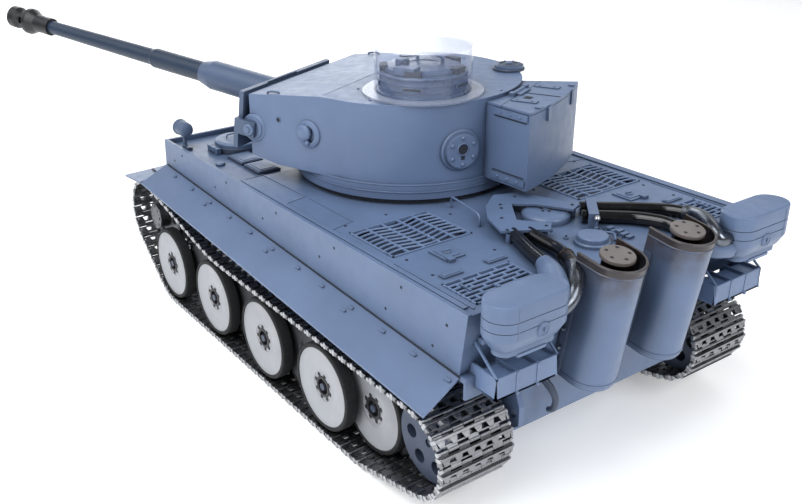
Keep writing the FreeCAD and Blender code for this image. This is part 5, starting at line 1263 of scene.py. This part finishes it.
bin_parts = Shape()
for side in (-1, 1):
    for front, z0, z1, thick, look in ((8.5, 125.2, 128.8, 0.7, 0), (8.5, 160.6, 164.2, 0.7, 0),
                                       (9.5, 129.6, 130.2, 0.12, 1), (9.5, 159.4, 160.0, 0.12, 1)):
        rear = 41.7 - front
        bin_parts.slab(*[[on_bin(side, front, z0, lift), on_bin(side, rear, z0, lift),
                          on_bin(side, rear, z1, lift), on_bin(side, front, z1, lift)]
                         for lift in (0.0, thick)], look)
    out = on_bin(side, 0, 0, 1) - on_bin(side, 0, 0)
    for z in (127.0, 162.4):
        for distance in (14.0, 21.0, 28.0):
            bin_parts.bolt(on_bin(side, distance, z, 0.7), out, 0.9, 0.6, 0, domed=True)
for y in (-18.0, 18.0):
    bulge = 3.6 * (1 - (y / 37.0) ** 2)
    bin_parts.block(-90.0 - bulge - 1.1, -90.0 - bulge + 0.4, y - 2.0, y + 2.0, 158.0, 165.4, 0)
bin_parts.make("bin_rivet_strips", [body_paint, deep_shadow], "turret", at=TURRET, bevel=0.12)

lid_parts = Shape()
for y in (-17.0, 17.0):
    lid_parts.block(-86.0, -72.0, y - 2.2, y + 2.2, 166.0, 166.6, 0)
    for x in (-74.5, -83.0):
        lid_parts.bolt((x, y, 166.6), (0, 0, 1), 0.8, 0.4, 0)
lid_parts.block(-92.6, -71.6, -0.3, 0.3, 166.0, 166.25, 1)
for y in (-26.0, 26.0):
    lid_parts.block(-92.0, -88.6, y - 1.8, y + 1.8, 165.9, 166.9, 0)
lid_parts.block(-80.0, -75.6, 6.4, 11.4, 166.0, 166.12, 1)
lid_parts.make("bin_lid_details", [body_paint, deep_shadow], "bin_lid", at=TURRET, bevel=0.12)

# ---------------------------------------------------------------- cupola

CUPOLA = Matrix.Translation((-23.8, 27.4, TURRET_TOP))
drum = Shape()
drum.lathe([(25.3, 0.2), (25.3, 1.6), (24.9, 2.0), (24.3, 2.1), (24.3, 4.2), (24.8, 4.3), (24.8, 4.9),
            (24.3, 5.0), (24.3, 7.6), (24.9, 7.7), (24.9, 8.4), (24.2, 8.5), (23.9, 10.6), (24.6, 10.8), (24.8, 11.6),
            (24.2, 12.4), (22.4, 12.6), (21.9, 12.3), (21.7, 10.4)], 0, CUPOLA, 96)
for k in range(5):
    turn = CUPOLA @ Matrix.Rotation(2 * math.pi * k / 5 + 0.55, 4, "Z")
    drum.block(24.0, 24.62, -6.2, 6.2, 5.3, 7.3, 0, turn)
    drum.block(24.3, 24.72, -4.9, 4.9, 5.7, 6.9, 1, turn)
    drum.block(19.4, 23.8, -4.4, 4.4, 12.3, 15.6, 2, turn)
    drum.block(18.6, 20.6, -2.4, 2.4, 12.0, 14.0, 1, turn)
drum.lathe([(21.4, 12.4), (21.0, 14.2), (19.6, 14.9), (17.0, 15.1), (9.0, 15.4), (8.6, 15.0), (0, 15.1)], 0,
           CUPOLA, 72)
drum.block(-6, 6, 15.0, 22.6, 13.0, 17.0, 0, CUPOLA)
handle = [CUPOLA @ Vector(p) for p in ((-9, -6, 15), (-8, -5, 18.6), (6, -8, 18.8), (8, -9, 15))]
drum.tube(smooth_path(handle, 5), 0.9, 0, 12)
drum.lathe([(3.8, 15), (3.8, 18.2), (3.2, 18.9), (0, 19)], 0, CUPOLA @ Matrix.Translation((8, 9, 0)), 24)
piece = drum.make("cupola_drum", [drum_paint, deep_shadow, dark_paint], "turret", at=TURRET, bevel=0.15)
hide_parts("cupola")

# ---------------------------------------------------------------- gun details

gun = Shape()
for side in (-1, 1):
    cap_at = place_at(trunnion.x, side * 64.4, trunnion.z, "Y" if side > 0 else "-Y")
    gun.lathe([(3.6, 0), (3.6, 0.7), (3.2, 1.1), (0, 1.2)], 0, cap_at, 28)
    gun.bolt((0, 0, 1.1), (0, 0, 1), 1.6, 0.8, 0, cap_at)
gun.make("trunnion_caps", [body_paint], "gun_cradle", at=GUN, bevel=0.12)

# ---------------------------------------------------------------- sprocket faces

for side, sign in (("left", 1), ("right", -1)):
    centre = hull_mm(joints["drive_sprocket_%s_spin" % side]["pos_m"])
    face = Shape()
    face_at = place_at(centre.x, sign * 96.5, centre.z, "Y" if sign > 0 else "-Y")
    face.lathe([(9.0, 0), (9.0, 6.6), (8.4, 7.4), (6.0, 7.9), (0, 8.0)], 0, face_at, 40)
    for x, y in around(10, 19.6):
        face.bolt((x, y, 0), (0, 0, 1), 1.0, 0.8, 0, face_at)
    for x, y in around(8, 7.0):
        face.bolt((x, y, 7.6), (0, 0, 1), 0.7, 0.5, 0, face_at)
    face.make("sprocket_face_" + side, [sprocket_metal], "drive_sprocket_" + side, "sprocket_metal")

# ---------------------------------------------------------------- stage, light and camera

floor_mesh = bpy.data.meshes.new("floor")
floor_mesh.from_pydata([(-6, -6, 0), (6, -6, 0), (6, 6, 0), (-6, 6, 0)], [], [(0, 1, 2, 3)])
floor_finish = Finish("floor_white", 0.7)
patches = floor_finish.ramp(floor_finish.noise(400.0), 0.3, 0.7)
floor_finish.colour(floor_finish.mix(patches, (0.9, 0.9, 0.9), (0.92, 0.92, 0.92)))
floor_finish.shader.inputs["Emission Color"].default_value = (1.0, 1.0, 1.0, 1.0)
floor_finish.shader.inputs["Emission Strength"].default_value = 0.3
floor_mesh.materials.append(floor_finish.material)
floor = bpy.data.objects.new("floor", floor_mesh)
bpy.context.scene.collection.objects.link(floor)
floor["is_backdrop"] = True

world = bpy.data.worlds.new("studio")
bpy.context.scene.world = world
world.use_nodes = True
background = world.node_tree.nodes["Background"]
background.inputs[0].default_value = (0.94, 0.97, 1.0, 1.0)
background.inputs[1].default_value = 0.2


def studio_light(name, azimuth, elevation, size, power, reach=1.6):
    """A soft square lamp aimed at the model, placed by its direction in degrees and its distance."""
    turn, lift = math.radians(azimuth), math.radians(elevation)
    aim = Vector((0, 0, 0.08))
    away = Vector((math.cos(turn) * math.cos(lift), math.sin(turn) * math.cos(lift), math.sin(lift)))
    place = aim + away * reach
    data = bpy.data.lights.new(name, "AREA")
    data.shape = "SQUARE"
    data.size = size
    data.energy = power
    data.color = (0.96, 0.98, 1.0)
    lamp_object = bpy.data.objects.new(name, data)
    lamp_object.location = place
    lamp_object.rotation_euler = (aim - place).to_track_quat("-Z", "Y").to_euler()
    bpy.context.scene.collection.objects.link(lamp_object)


studio_light("top", 100, 64, 1.0, 14.0)
studio_light("front", -20, 21, 1.2, 9.0)
studio_light("front_left", 40, 35, 1.0, 3.5)
studio_light("left", 112, 34, 0.8, 6.5, 1.15)
studio_light("rear", 194, 34, 0.8, 10.5)
studio_light("front_right", -50, 25, 1.2, 2.0)
studio_light("right", -86, 44, 0.9, 2.5)

PICTURE_W = 802      # the picture's width; the lens and the shifts below are measured in its pixels
SENSOR_MM = 36.0
camera_data = bpy.data.cameras.new("camera")
camera_data.sensor_fit = "HORIZONTAL"
camera_data.sensor_width = SENSOR_MM
camera_data.lens = 912.205 / PICTURE_W * SENSOR_MM
camera_data.shift_x = 63.938 / PICTURE_W
camera_data.shift_y = -9.830 / PICTURE_W
camera_data.clip_start = 0.01
camera_data.dof.use_dof = False
camera = bpy.data.objects.new("camera", camera_data)
bpy.context.scene.collection.objects.link(camera)
bpy.context.scene.camera = camera
yaw, pitch, roll = -0.573531, -0.414943, -0.027874   # radians, in the hull's frame
forward = Vector((math.cos(pitch) * math.cos(yaw), math.cos(pitch) * math.sin(yaw), math.sin(pitch)))
level_right = forward.cross(Vector((0, 0, 1))).normalized()
level_up = level_right.cross(forward)
right = level_right * math.cos(roll) + level_up * math.sin(roll)
up = -level_right * math.sin(roll) + level_up * math.cos(roll)
camera.matrix_world = (Matrix.Translation(HULL @ Vector((-251.016, 323.859, 295.283)))
                       @ Matrix((right, up, -forward)).transposed().to_4x4())

bpy.context.scene.view_settings.view_transform = "Standard"
bpy.context.scene.view_settings.look = "None"

low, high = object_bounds()
